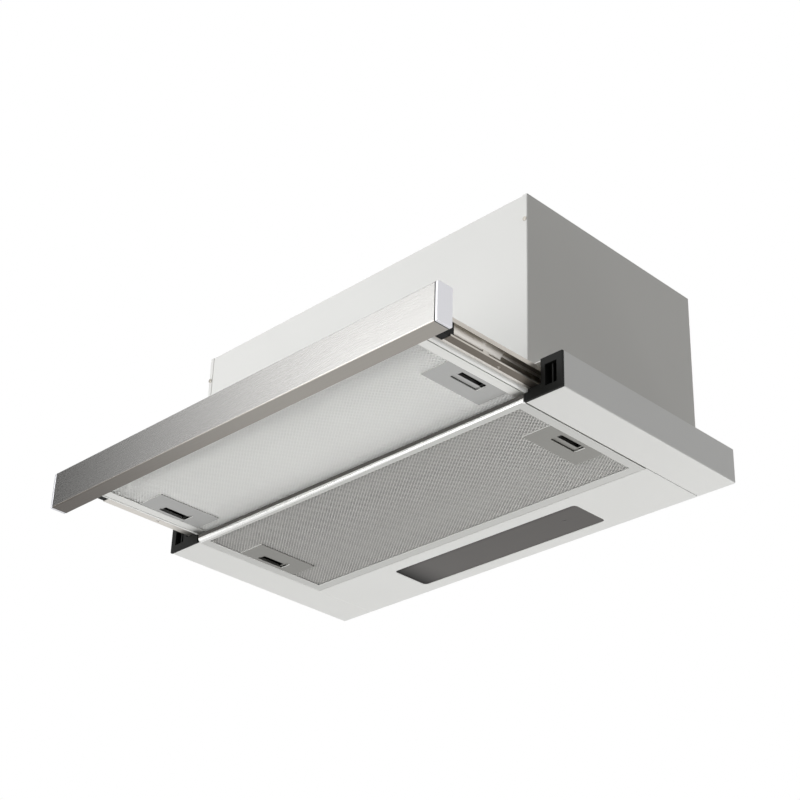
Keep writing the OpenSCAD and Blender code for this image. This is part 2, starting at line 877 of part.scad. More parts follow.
module blower_housing() {
    // spiral shell with an inlet at each side and its outlet at the top
    color("#3a3b3c")
        difference() {
            along_x(wheel_y, wheel_z)
                translate([0, 0, -scroll_w / 2])
                    linear_extrude(scroll_w)
                        polygon(scroll_outline(0));
            along_x(wheel_y, wheel_z)
                translate([0, 0, -scroll_w / 2 + scroll_t])
                    linear_extrude(scroll_w - 2 * scroll_t)
                        polygon(scroll_outline(scroll_t));
            along_x(wheel_y, wheel_z)
                translate([0, 0, -scroll_w])
                    cylinder(r = inlet_r, h = 2 * scroll_w);
        }
}

function blade_points(r0, r1, t) = concat(
    [for (i = [0 : 4]) let (s = i / 4, r = r0 + (r1 - r0) * s, a = 16 * s * s)
        [r * cos(a), r * sin(a)]],
    [for (i = [4 : -1 : 0]) let (s = i / 4, r = r0 + (r1 - r0) * s, a = 16 * s * s + t)
        [r * cos(a), r * sin(a)]]);

module blower_wheel() {
    // two rings of forward-curved blades on one disc
    ring_t = 2;
    blade_turn = 1.4;
    color("#4a4c4e")
        along_x(wheel_y, wheel_z)
            union() {
                translate([0, 0, -wheel_w / 2 + ring_t / 2])
                    linear_extrude(wheel_w - ring_t)
                        for (i = [0 : blade_count - 1])
                            rotate(i * 360 / blade_count)
                                polygon(blade_points(wheel_r - blade_depth, wheel_r - 0.5, blade_turn));
                for (z = [-wheel_w / 2, wheel_w / 2 - ring_t])
                    translate([0, 0, z])
                        difference() {
                            cylinder(r = wheel_r, h = ring_t);
                            translate([0, 0, -1])
                                cylinder(r = wheel_r - blade_depth * 0.6, h = ring_t + 2);
                        }
                difference() {
                    union() {
                        translate([0, 0, -ring_t])
                            cylinder(r = wheel_r - 1, h = ring_t);
                        translate([0, 0, -14])
                            cylinder(r = 12, h = 14);
                    }
                    translate([0, 0, -20])
                        cylinder(r = shaft_r, h = 30);
                }
            }
}

motor_x0 = 6;
motor_l = 68;
bell_l = 10;
shaft_out = 18;

module motor() {
    // round motor with end bells, air slots in the outer bell and the bore for its shaft
    vent_count = 8;
    vent_w = 4;
    vent_d = 5;
    color("#9b9da0")
        along_x(wheel_y, wheel_z)
            difference() {
                union() {
                    translate([0, 0, motor_x0])
                        cylinder(r = motor_r - 8, h = bell_l + bit);
                    translate([0, 0, motor_x0 + bell_l])
                        cylinder(r = motor_r, h = motor_l - 2 * bell_l);
                    translate([0, 0, motor_x0 + motor_l - bell_l - bit])
                        cylinder(r = motor_r - 8, h = bell_l);
                }
                translate([0, 0, motor_x0 - 1])
                    cylinder(r = shaft_r + bolt_play, h = motor_l - bell_l + 1);
                for (i = [0 : vent_count - 1])
                    rotate(i * 360 / vent_count)
                        translate([motor_r - 20, -vent_w / 2, motor_x0 + motor_l - vent_d])
                            cube([8, vent_w, vent_d + 1]);
            }
}

module motor_shaft() {
    color("silver")
        along_x(wheel_y, wheel_z)
            translate([0, 0, -shaft_out])
                cylinder(r = shaft_r, h = shaft_out + motor_x0 + motor_l - bell_l - 2);
}

module motor_bracket() {
    // ring on the right inlet, three arms and a band round the motor
    arm_w = 12;
    arm_t = 3;
    ring_w = 8;
    color("#b0b2b4")
        along_x(wheel_y, wheel_z)
            translate([0, 0, scroll_w / 2])
                difference() {
                    union() {
                        difference() {
                            cylinder(r = inlet_r + ring_w, h = arm_t);
                            translate([0, 0, -1])
                                cylinder(r = inlet_r - 2, h = arm_t + 2);
                        }
                        for (a = [30, 150, 270])
                            rotate(a)
                                translate([motor_r, -arm_w / 2, 0])
                                    cube([inlet_r - motor_r, arm_w, arm_t]);
                        difference() {
                            cylinder(r = motor_r + 3, h = arm_t);
                            translate([0, 0, -1])
                                cylinder(r = motor_r, h = arm_t + 2);
                        }
                    }
                }
}

// Outlet

flap_z = body_h + 9;
flap_r = duct_r - scroll_t - 1;
flap_t = 1.2;
pin_r = 1.5;
barrel_r = 3;
knuckle_l = 18;

module duct_outlet() {
    // collar with a flange on the top panel and two sockets for the damper pin
    flange_t = 2;
    color("#454647")
        translate([0, duct_mid_y, body_h])
            difference() {
                union() {
                    cylinder(r = duct_r, h = duct_h);
                    cylinder(r = duct_r + 8, h = flange_t);
                }
                translate([0, 0, -1])
                    cylinder(r = duct_r - scroll_t, h = duct_h + 2);
            }
}

module damper_pin() {
    color("silver")
        translate([-duct_r + scroll_t, duct_mid_y, flap_z])
            rotate([0, 90, 0])
                cylinder(r = pin_r, h = 2 * (duct_r - scroll_t));
}

module damper(side) {
    // half disc with two knuckles on the pin; side -1 is the front half, 1 the rear half
    slot = 0.6;
    first = side > 0 ? -46 : -24;
    color("#55585a")
        translate([0, duct_mid_y, flap_z])
            difference() {
                union() {
                    translate([0, 0, -barrel_r])
                        intersection() {
                            cylinder(r = flap_r, h = flap_t);
                            translate([-flap_r, side > 0 ? slot : -flap_r, -1])
                                cube([2 * flap_r, flap_r - slot, flap_t + 2]);
                        }
                    for (x = [first, first + 50])
                        translate([x, 0, 0])
                            rotate([0, 90, 0])
                                cylinder(r = barrel_r, h = knuckle_l);
                }
                translate([-flap_r - 1, 0, 0])
                    rotate([0, 90, 0])
                        cylinder(r = pin_r + bolt_play, h = 2 * flap_r + 2);
                for (x = [side > 0 ? -24 : -46, side > 0 ? 26 : 4])
                    translate([x - 0.4, side > 0 ? -4 : -4, -barrel_r - 1])
                        cube([knuckle_l + 0.8, 8, 2 * barrel_r]);
            }
}

// Electrical parts

gland_x = body_x - 60;
gland_y = body_rear_y - 40;
gland_r = 8;

module cable_gland() {
    // bushing in the top panel where the mains cable leaves
    color("#222222")
        translate([gland_x, gland_y, body_h])
            difference() {
                union() {
                    translate([0, 0, -sheet_t])
                        cylinder(r = gland_r - bolt_play, h = sheet_t + bit);
                    cylinder(r = gland_r + 3, h = 3);
                    translate([0, 0, -sheet_t - 3])
                        cylinder(r = gland_r + 4, h = 3, $fn = 6);
                    translate([0, 0, 3 - bit])
                        cylinder(r = gland_r - 2, h = 6);
                }
                translate([0, 0, -10])
                    cylinder(r = 4, h = 30);
            }
}

module terminal_box() {
    // closed box on the right side wall, with the rim of its lid
    w = 34;
    l = 90;
    h = 60;
    rim = 2;
    color("#c2c2bf")
        translate([body_x - sheet_t - w, body_rear_y - 2 * sheet_t - 30 - l, body_h - 90])
            union() {
                cube([w, l, h]);
                translate([3, -rim, -rim])
                    cube([4, l + 2 * rim, h + 2 * rim]);
            }
}

module capacitor() {
    // round capacitor on the rear panel, with its contact plate
    inset = 70;
    drop = 85;
    l = 60;
    r = 15;
    color("#e8e6e0")
        translate([-body_x + inset, body_rear_y - 2 * sheet_t, body_h - drop])
            rotate([90, 0, 0])
                union() {
                    cylinder(r = r, h = l);
                    translate([0, 0, l - bit])
                        cylinder(r = r - 4, h = 4);
                }
}

switch_w = 28;
switch_d = 10;
switch_y = tray_front_y + tray_l + travel - 2 + 2 * play + 2;
switch_x = channel_in - 60;

module tray_switch() {
    // small switch on the rear wall of the base, met by the tray's rear tie
    plunger_room = 0.3;
    color("#26272a")
        difference() {
            translate([switch_x, switch_y, tray_top_z - 12])
                cube([switch_w, rear_y - sheet_t - switch_y, 14]);
            translate([switch_x + 8 - plunger_room, switch_y - 1, tray_top_z - 5 - plunger_room])
                cube([4 + 2 * plunger_room, 5, 3 + 2 * plunger_room]);
        }
}

module switch_plunger() {
    color("#c03a2b")
        translate([switch_x + 8, switch_y - 2 + play, tray_top_z - 5])
            cube([4, 4, 3]);
}

// Screws

module body_screws() {
    // one screw beside each flange of the front panel, near the top
    color("silver")
        for (x = [-1, 1])
            translate([x * (body_x - flange_w / 2), body_front_y, body_h - 31])
                rotate([90, 0, 0])
                    cylinder(d = screw_head_d, h = 1);
}

module base_screws() {
    // screws that hold the side feet of the body on the base plate
    color("silver")
        for (x = [-1, 1], y = [-90, 0, 90])
            translate([x * (body_x - sheet_t - foot_w / 2), y, 0])
                cylinder(d = screw_head_d, h = 1.6);
}

body_front_panel();
body_side(-1);  // body_side_left
body_side(1);  // body_side_right
body_rear_panel();
body_top_panel();
base_top_plate();
base_channel(-1);  // base_channel_left
base_channel(1);  // base_channel_right
base_rear_plate();
end_cap(-1);  // end_cap_left
end_cap(1);  // end_cap_right
light_lens();
light_housing();
light_board();
at_filter() filter_frame_shape();  // filter_frame
at_filter() filter_mesh_shape();  // filter_mesh
at_filter() filter_latch_plates_shape();  // filter_latch_plates
at_filter() filter_latch_shape(-1);  // filter_latch_left
at_filter() filter_latch_shape(1);  // filter_latch_right
slide_rail(-1);  // slide_rail_left
slide_rail(1);  // slide_rail_right
slide_cage(-1);  // slide_cage_left
slide_cage(1);  // slide_cage_right
slide_balls(-1);  // slide_balls_left
slide_balls(1);  // slide_balls_right
slide_runner(-1);  // slide_runner_left
slide_runner(1);  // slide_runner_right
tray_side(-1);  // tray_side_left
tray_side(1);  // tray_side_right
tray_cover();
tray_front_beam();
tray_rear_tie();
front_panel();
front_panel_ends();
runner_bracket(-1);  // runner_bracket_left
runner_bracket(1);  // runner_bracket_right
control_housing();
control_slider(0);  // speed_slider
control_slider(1);  // light_slider
at_tray_filter() filter_frame_shape();  // tray_filter_frame
at_tray_filter() filter_mesh_shape();  // tray_filter_mesh
at_tray_filter() filter_latch_plates_shape();  // tray_filter_latch_plates
at_tray_filter() filter_latch_shape(-1);  // tray_filter_latch_left
at_tray_filter() filter_latch_shape(1);  // tray_filter_latch_right
blower_housing();
blower_wheel();
motor();
motor_shaft();
motor_bracket();
duct_outlet();
damper_pin();
damper(-1);  // damper_front
damper(1);  // damper_rear
capacitor();
terminal_box();
cable_gland();
tray_switch();
switch_plunger();
body_screws();
base_screws();
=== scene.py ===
# Built-in range hood with its filter tray pulled out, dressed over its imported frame.
import json
import math

import bmesh
import bpy
import numpy as np
from mathutils import Matrix, Vector

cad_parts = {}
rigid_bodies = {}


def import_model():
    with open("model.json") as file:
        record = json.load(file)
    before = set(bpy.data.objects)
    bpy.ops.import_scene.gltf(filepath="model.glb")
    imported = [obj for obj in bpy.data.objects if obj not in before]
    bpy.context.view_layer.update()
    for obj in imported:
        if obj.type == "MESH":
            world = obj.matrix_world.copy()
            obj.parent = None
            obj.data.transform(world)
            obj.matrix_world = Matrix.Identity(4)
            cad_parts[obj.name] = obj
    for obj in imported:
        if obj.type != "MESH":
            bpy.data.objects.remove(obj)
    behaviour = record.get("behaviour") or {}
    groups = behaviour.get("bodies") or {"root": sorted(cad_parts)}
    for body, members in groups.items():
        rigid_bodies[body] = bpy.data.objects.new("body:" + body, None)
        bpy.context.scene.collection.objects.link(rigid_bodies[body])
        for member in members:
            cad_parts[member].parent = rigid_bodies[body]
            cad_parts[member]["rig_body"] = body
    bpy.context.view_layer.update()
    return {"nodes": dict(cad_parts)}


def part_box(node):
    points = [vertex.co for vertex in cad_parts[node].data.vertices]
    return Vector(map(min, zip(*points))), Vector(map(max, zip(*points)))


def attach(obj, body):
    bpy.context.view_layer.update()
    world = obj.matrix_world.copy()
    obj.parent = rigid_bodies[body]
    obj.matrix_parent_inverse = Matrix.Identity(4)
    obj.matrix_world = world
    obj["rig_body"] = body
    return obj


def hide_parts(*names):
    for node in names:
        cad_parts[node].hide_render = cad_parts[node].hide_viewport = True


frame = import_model()
nodes = frame["nodes"]
scene = bpy.context.scene
scene.view_settings.view_transform = "Standard"
mm = 0.001
print("frame loaded:", len(nodes), "nodes")

# Camera: below the hood, in front of it and to its right

view = {
    "place": (1.2234, -1.2502, -0.8581),
    "right": (0.7077, 0.7058, 0.0311),
    "up": (0.3231, -0.3625, 0.8742),
    "lens": 78.1,  # mm
    "sensor": 36,  # mm
}


def makeCamera():
    # stands where the photo was taken from, turned by its right and its up direction
    data = bpy.data.cameras.new("photoCamera")
    data.lens = view["lens"]
    data.sensor_width = view["sensor"]
    camera = bpy.data.objects.new("photoCamera", data)
    right = Vector(view["right"]).normalized()
    back = right.cross(Vector(view["up"])).normalized()
    up = back.cross(right)
    turn = Matrix((right, up, back)).transposed().to_4x4()
    camera.matrix_world = Matrix.Translation(view["place"]) @ turn
    scene.collection.objects.link(camera)
    scene.camera = camera


makeCamera()
print("camera made")

# Small helpers for materials


def srgb(code):
    # a hex colour turned to linear light
    parts = [int(code[i:i + 2], 16) / 255 for i in (1, 3, 5)]
    return tuple(p / 12.92 if p <= 0.04045 else ((p + 0.055) / 1.055) ** 2.4 for p in parts) + (1.0,)


def addNode(tree, kind, values=None, links=None, **settings):
    # one node with its properties, its socket values and what feeds its sockets
    made = tree.nodes.new("ShaderNode" + kind)
    for name, value in settings.items():
        setattr(made, name, value)
    for name, value in (values or {}).items():
        made.inputs[name].default_value = value
    for name, source in (links or {}).items():
        tree.links.new(source, made.inputs[name])
    return made


def newMaterial(name, **values):
    # a principled shader with its plain values, ready for patterns
    material = bpy.data.materials.new(name)
    material.use_nodes = True
    tree = material.node_tree
    shader = tree.nodes["Principled BSDF"]
    for key, value in values.items():
        shader.inputs[key.replace("_", " ")].default_value = value
    return material, tree, shader


def countedIn(tree, size):
    # the object's own coordinates, counted in steps of a real size in mm along X, Y and Z
    spot = addNode(tree, "TexCoord")
    scale = [1 / (step * mm) for step in size]
    counted = addNode(tree, "Mapping", {"Scale": scale}, {"Vector": spot.outputs["Object"]})
    return counted.outputs["Vector"]


def riseAlong(tree, axis, start, end):
    # a smooth rise from 0 to 1 between two places in mm on one axis of the object
    spot = addNode(tree, "TexCoord")
    parts = addNode(tree, "SeparateXYZ", links={"Vector": spot.outputs["Object"]})
    rise = addNode(tree, "MapRange", {"From Min": start * mm, "From Max": end * mm},
                   {"Value": parts.outputs[axis]}, interpolation_type="SMOOTHSTEP")
    return rise.outputs["Result"]


def leadPattern(tree, shader, pattern, tones=None, gloss=None, relief=None):
    # a pattern from 0 to 1 sets the colour between two tones, the roughness between two values, and the
    # relief by its strength and its height in mm
    if tones:
        mix = addNode(tree, "Mix", {"A": srgb(tones[0]), "B": srgb(tones[1])}, {"Factor": pattern},
                      data_type="RGBA")
        tree.links.new(mix.outputs["Result"], shader.inputs["Base Color"])
    if gloss:
        span = addNode(tree, "MapRange", {"To Min": gloss[0], "To Max": gloss[1]}, {"Value": pattern})
        tree.links.new(span.outputs["Result"], shader.inputs["Roughness"])
    if relief:
        bump = addNode(tree, "Bump", {"Strength": relief[0], "Distance": relief[1] * mm}, {"Height": pattern})
        tree.links.new(bump.outputs[0], shader.inputs["Normal"])


# Materials

patternSize = {  # mm along X, Y and Z
    "peel": (1.6, 1.6, 1.6),  # orange peel of the powder coat
    "cloud": (120, 120, 120),  # slow drift of its white
    "drawn": (30, 2, 2),  # drawing lines on the underside of the front panel
    "lens": (40, 14, 14),  # flow marks in the moulded lens
    "smear": (60, 30, 60),  # greasy smears on the glass
    "layers": (5.2, 3.8, 50),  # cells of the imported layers, so tall that one spans them all
}
# painted shade, by axis and mm from and to: where it fades on the front panel's underside and on the lens
paintedShading = {  # axis, and mm from and to
    "panelUnder": ("X", -330, 120),  # the underside of the front panel gets lighter to the right
    # the painted shade on the lens fades out between these
    "lensBoxX": ("X", -150, -90),  # where the dark wall behind the lens ends
    "lensBoxY": ("Y", 62, 78),
}


def powderCoat(name, low, high, rough):
    # polyester powder coat baked on sheet steel: satin white with a faint orange peel
    material, tree, shader = newMaterial(name, Roughness=rough)
    peel = addNode(tree, "TexNoise", {"Scale": 1.0, "Detail": 2.0},
                   {"Vector": countedIn(tree, patternSize["peel"])})
    cloud = addNode(tree, "TexNoise", {"Scale": 1.0, "Detail": 1.0},
                    {"Vector": countedIn(tree, patternSize["cloud"])})
    leadPattern(tree, shader, peel.outputs[0], gloss=(rough - 0.05, rough + 0.05), relief=(0.25, 0.04))
    leadPattern(tree, shader, cloud.outputs[0], tones=(low, high))
    return material


def brushedStainless(name, low, high, lines):
    # stainless sheet brushed along X: fine long scratches that spread the highlight across them
    material, tree, shader = newMaterial(name, Metallic=1.0, Anisotropic=0.75)
    scratches = addNode(tree, "TexNoise", {"Scale": 1.0, "Detail": 3.0, "Roughness": 0.6},
                        {"Vector": countedIn(tree, lines)})
    leadPattern(tree, shader, scratches.outputs[0], (low, high), gloss=(0.25, 0.29), relief=(0.035, 0.01))
    across = addNode(tree, "Tangent", direction_type="RADIAL", axis="X")
    tree.links.new(across.outputs[0], shader.inputs["Tangent"])
    return material


def drawnStainlessPaintedShade(name, left, right):
    # stainless sheet as drawn at the mill, duller than the brushed face, with painted shade: its tone rises
    # from dark to light along the panel
    material, tree, shader = newMaterial(name, Metallic=1.0)
    lines = addNode(tree, "TexNoise", {"Scale": 1.0, "Detail": 3.0},
                    {"Vector": countedIn(tree, patternSize["drawn"])})
    leadPattern(tree, shader, riseAlong(tree, *paintedShading["panelUnder"]), tones=(left, right))
    leadPattern(tree, shader, lines.outputs[0], gloss=(0.36, 0.5))
    return material


def plainMetal(name, low, high, rough, grain):
    # bare metal whose tone and gloss follow a grain of a given size in mm
    material, tree, shader = newMaterial(name, Metallic=1.0)
    pattern = addNode(tree, "TexNoise", {"Scale": 1.0, "Detail": 3.0}, {"Vector": countedIn(tree, grain)})
    leadPattern(tree, shader, pattern.outputs[0], (low, high), rough, relief=(0.2, 0.02))
    return material


def mouldedPlastic(name, low, high, rough, grain, shine=0.5, metallic=0.0):
    # injection moulded plastic with a fine spark-eroded grain
    material, tree, shader = newMaterial(name, IOR=1.5, Specular_IOR_Level=shine, Metallic=metallic)
    pattern = addNode(tree, "TexNoise", {"Scale": 1.0, "Detail": 2.0}, {"Vector": countedIn(tree, grain)})
    leadPattern(tree, shader, pattern.outputs[0], (low, high), rough, relief=(0.3, 0.05))
    return material


def packedLayers(name, low, high, through):
    # layers of expanded aluminium behind the face, drawn as one sheet: it scatters light, and lets the
    # share through that falls between the strands
    material, tree, shader = newMaterial(name, Roughness=0.75, IOR=1.05, Transmission_Weight=through)
    weave = addNode(tree, "TexVoronoi", {"Scale": 1.0, "Randomness": 0.0},
                    {"Vector": countedIn(tree, patternSize["layers"])}, feature="DISTANCE_TO_EDGE")
    strand = addNode(tree, "MapRange", {"To Min": 1.0, "To Max": 0.0}, {"Value": weave.outputs["Distance"]})
    leadPattern(tree, shader, strand.outputs["Result"], (low, high), relief=(0.4, 0.3))
    return material


def smokedLens(name, dark, low, high):
    # smoked polycarbonate, moulded, with painted shade: darker and without shine at its left end and along
    # its front edge
    material, tree, shader = newMaterial(name, IOR=1.58, Specular_IOR_Level=0.35)
    flow = addNode(tree, "TexNoise", {"Scale": 1.0, "Detail": 2.0},
                   {"Vector": countedIn(tree, patternSize["lens"])})
    leadPattern(tree, shader, flow.outputs[0], (low, high), gloss=(0.25, 0.35))
    smoked = shader.inputs["Base Color"].links[0].from_socket  # the plastic's own tones
    right, rear = riseAlong(tree, *paintedShading["lensBoxX"]), riseAlong(tree, *paintedShading["lensBoxY"])
    clear = addNode(tree, "Math", links={0: right, 1: rear}, operation="MULTIPLY")
    mix = addNode(tree, "Mix", {"A": srgb(dark)}, {"Factor": clear.outputs[0], "B": smoked}, data_type="RGBA")
    shine = addNode(tree, "MapRange", {"To Min": 0.0, "To Max": 0.36}, {"Value": clear.outputs[0]})
    tree.links.new(mix.outputs["Result"], shader.inputs["Base Color"])
    tree.links.new(shine.outputs["Result"], shader.inputs["Specular IOR Level"])
    return material


def floatGlass(name, low, high):
    # thin clear float glass, faintly green: mostly seen through, with a few greasy smears on it
    material, tree, shader = newMaterial(name, Alpha=0.22, IOR=1.5)
    smear = addNode(tree, "TexNoise", {"Scale": 1.0, "Detail": 2.0},
                    {"Vector": countedIn(tree, patternSize["smear"])})
    leadPattern(tree, shader, smear.outputs[0], (low, high), gloss=(0.02, 0.1))
    return material


# white powder coat, one paint in lit and shaded copies: painted shade on the body's sheets, more on its
# sides, and painted light on the tray's sides
paint = powderCoat("powderCoatWhite", "#e6e6e4", "#eaeae8", 0.42)
trayPaintPaintedLight = powderCoat("powderCoatTrayPaintedLight", "#f6f6f4", "#fafaf8", 0.36)
bodySidePaintedShade = powderCoat("powderCoatBodySidePaintedShade", "#d1d0cc", "#d5d4d0", 0.42)
bodyPaintPaintedShade = powderCoat("powderCoatBodyPaintedShade", "#d5d5d3", "#d9d9d7", 0.42)
# front panel: brushed in front, plain mill finish below, darkened there by painted shade
stainless = brushedStainless("stainlessBrushed", "#adacaa", "#b6b5b3", (26, 0.3, 0.3))
stainlessUnderPaintedShade = drawnStainlessPaintedShade("stainlessMillFinishPaintedShade", "#67625d", "#a5a19b")
# zinc plate on cold-rolled slides and screws: warm grey; its lighter copies are painted light, on the faces
# that look down and on the track, which the balls also polish, and its darker copy is painted shade on the
# right runner's lower lip
zinc = plainMetal("zincPlatedSteel", "#b5b0a8", "#cbc6be", (0.28, 0.42), (5, 14, 5))
zincBrightPaintedLight = plainMetal("zincPlatedBrightPaintedLight", "#dcd8d2", "#e6e2dc", (0.34, 0.46), (5, 14, 5))
zincTrackPaintedLight = plainMetal("zincPlatedTrackPaintedLight", "#eeeae4", "#f6f2ec", (0.34, 0.46), (5, 14, 5))
zincUnderPaintedShade = plainMetal("zincPlatedSteelPaintedShade", "#6f6860", "#7b746b", (0.4, 0.5), (5, 14, 5))
# hardened steel balls, polished
ballSteel = plainMetal("ballSteelPolished", "#c8c8ca", "#d8d8da", (0.08, 0.14), (0.8, 0.8, 0.8))
# aluminium sheet: polished where it is rolled round, matt and pale where it is cut
brightAluminium = plainMetal("aluminiumPolished", "#ececea", "#f6f6f4", (0.22, 0.34), (24, 0.6, 0.6))
cutEdge = plainMetal("aluminiumCutEdge", "#f4f4f2", "#fafaf8", (0.85, 0.95), (3, 3, 3))
# rolled frames, pressed plates and expanded nets, the same aluminium in two copies: lighter on the tray's
# filter as painted light, darker on the fixed filter as painted shade
filterFinish = {
    "tray_filter": {
        "frame": plainMetal("aluminiumRolledPaintedLight", "#e2e2df", "#ecece9", (0.34, 0.46), (24, 0.6, 0.6)),
        "plate": plainMetal("aluminiumPressedPaintedLight", "#b0b0ad", "#bababa", (0.4, 0.5), (0.7, 12, 0.7)),
        "net": plainMetal("aluminiumExpandedPaintedLight", "#f6f6f4", "#fcfcfb", (0.5, 0.62), (3, 3, 3)),
        "core": packedLayers("aluminiumLayersPaintedLight", "#e2e2e0", "#ebebe9", 0.5),
    },
    "filter": {
        "frame": plainMetal("aluminiumRolledPaintedShade", "#c6c6c3", "#d0d0cd", (0.34, 0.46), (24, 0.6, 0.6)),
        "plate": plainMetal("aluminiumPressedPaintedShade", "#8e8d89", "#999894", (0.4, 0.5), (0.7, 12, 0.7)),
        "net": plainMetal("aluminiumExpandedPaintedShade", "#dad9d6", "#e4e3e0", (0.5, 0.62), (3, 3, 3)),
        "core": packedLayers("aluminiumLayersPaintedShade", "#7c7b78", "#868582", 0.5),
    },
}
# moulded plastics: matt black trim, matt grey foam that is painted shade on the filter's front wall, satin
# greys, and silver lacquer on the panel's ends
blackAbs = mouldedPlastic("absBlack", "#0c0d0c", "#131412", (0.5, 0.62), (0.7, 0.7, 0.7), 0.18)
sealFoamPaintedShade = mouldedPlastic("foamSealGreyPaintedShade", "#5c5a57", "#686663", (0.85, 0.95), (0.9, 0.9, 0.9), 0.1)
greyAbs = mouldedPlastic("absLightGrey", "#d2d2d6", "#dadade", (0.32, 0.42), (0.7, 0.7, 0.7))
silverAbs = mouldedPlastic("absSilverLacquer", "#dcdce0", "#e6e6ea", (0.3, 0.4), (0.5, 0.5, 0.5), 0.5, 0.8)
housingAbs = mouldedPlastic("polypropyleneDark", "#34363a", "#3e4043", (0.45, 0.6), (1.2, 1.2, 1.2))
# smoked lens; its first colour is the painted shade at its left end and front edge
lens = smokedLens("polycarbonateSmokedPaintedShade", "#0c0a09", "#3e3a36", "#494541")
# inside: solder resist on the light board, capacitor can, zinc-plated motor case, red plunger
boardWhite = mouldedPlastic("solderResistWhite", "#e4e1d2", "#ece9dc", (0.4, 0.5), (4, 4, 4))
capacitorWhite = mouldedPlastic("polypropyleneWhite", "#dcdad2", "#e6e4dc", (0.35, 0.45), (1, 1, 1))
motorSteel = plainMetal("motorCaseZinc", "#8f9194", "#a9abae", (0.36, 0.5), (6, 6, 6))
switchRed = mouldedPlastic("absRed", "#a8301f", "#bb3a28", (0.3, 0.4), (0.8, 0.8, 0.8))
# cover of the tray
glass = floatGlass("floatGlassClear", "#dfe9e6", "#eef4f2")
print("materials made")

# Helpers for pieces

meshing = {
    "weld": 0.002,  # mm, corners of a made mesh that lie closer are one
    "weldCopy": 0.005,  # mm, the same for a node's loose triangles
    "flat": 1,  # degrees, triangles of a node that differ less make one face
    "near": 0.05,  # mm, an edge this close to a line lies on it
    "square": 0.9,  # share of a normal on an axis from which a face counts as square to it
}


def outward(mesh):
    # merges doubles and turns every face of a closed mesh outwards
    edit = bmesh.new()
    edit.from_mesh(mesh)
    bmesh.ops.remove_doubles(edit, verts=edit.verts, dist=meshing["weld"] * mm)
    bmesh.ops.recalc_face_normals(edit, faces=edit.faces)
    edit.to_mesh(mesh)
    edit.free()


def meshOf(name, parts):
    # one mesh from parts of (points in mm, four-cornered faces)
    points, faces, first = [], [], 0
    for p, f in parts:
        points.append(p.reshape(-1, 3))
        faces.append(f.reshape(-1, 4) + first)
        first += len(points[-1])
    points = np.concatenate(points) * mm
    faces = np.concatenate(faces)
    mesh = bpy.data.meshes.new(name)
    mesh.vertices.add(len(points))
    mesh.vertices.foreach_set("co", points.astype(np.float32).ravel())
    mesh.loops.add(faces.size)
    mesh.loops.foreach_set("vertex_index", faces.astype(np.int32).ravel())
    mesh.polygons.add(len(faces))
    mesh.polygons.foreach_set("loop_start", np.arange(0, faces.size, 4, dtype=np.int32))
    mesh.update(calc_edges=True)
    mesh.validate()
    return mesh


def shadeSmooth(mesh):
    mesh.polygons.foreach_set("use_smooth", np.ones(len(mesh.polygons), dtype=bool))


def addPiece(name, mesh, body, material, replaced=(), smooth=40):
    # hangs a finished mesh on its body, with its finish and the nodes that it stands for
    piece = bpy.data.objects.new(name, mesh)
    scene.collection.objects.link(piece)
    mesh.materials.clear()
    mesh.materials.append(material)
    if smooth:
        shadeSmooth(mesh)
        mesh.set_sharp_from_angle(angle=math.radians(smooth))
    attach(piece, body)
    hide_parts(*replaced)
    return piece


def rounded(piece, width, segments=2, angle=35):
    # a bevel on every edge sharper than the angle, and normals that keep the large faces flat
    if width:
        bevel = piece.modifiers.new("edges", "BEVEL")
        bevel.width = width * mm
        bevel.segments = segments
        bevel.limit_method = "ANGLE"
        bevel.angle_limit = math.radians(angle)
    flat = piece.modifiers.new("flatFaces", "WEIGHTED_NORMAL")
    flat.weight = 80
    flat.keep_sharp = True
    return piece


def camel(node):
    # a node's name written the way that pieces are named
    parts = node.split("_")
    return parts[0] + "".join(p.capitalize() for p in parts[1:])


def softenedCopy(node, width, material, segments=2):
    # the node's own shape with its loose triangles merged to flat faces and its edges rounded
    edit = bmesh.new()
    edit.from_mesh(nodes[node].data)
    bmesh.ops.remove_doubles(edit, verts=edit.verts, dist=meshing["weldCopy"] * mm)
    limit = math.radians(meshing["flat"])
    bmesh.ops.dissolve_limit(edit, angle_limit=limit, verts=edit.verts, edges=edit.edges)
    mesh = bpy.data.meshes.new(node + "Soft")
    edit.to_mesh(mesh)
    edit.free()
    if "custom_normal" in mesh.attributes:
        mesh.attributes.remove(mesh.attributes["custom_normal"])
    piece = addPiece(camel(node), mesh, nodes[node]["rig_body"], material, [node], smooth=None)
    shadeSmooth(mesh)
    return rounded(piece, width, segments)


def finishWhere(piece, material, test, cuts=()):
    # cuts the piece's mesh at planes (point in mm, normal), then gives another finish to the faces whose
    # middle in mm and normal pass the test
    edit = bmesh.new()
    edit.from_mesh(piece.data)
    for point, normal in cuts:
        geometry = edit.verts[:] + edit.edges[:] + edit.faces[:]
        bmesh.ops.bisect_plane(edit, geom=geometry, plane_co=Vector(point) * mm, plane_no=normal)
    edit.to_mesh(piece.data)
    edit.free()
    piece.data.materials.append(material)
    index = len(piece.data.materials) - 1
    for face in piece.data.polygons:
        if test(face.center / mm, face.normal):
            face.material_index = index


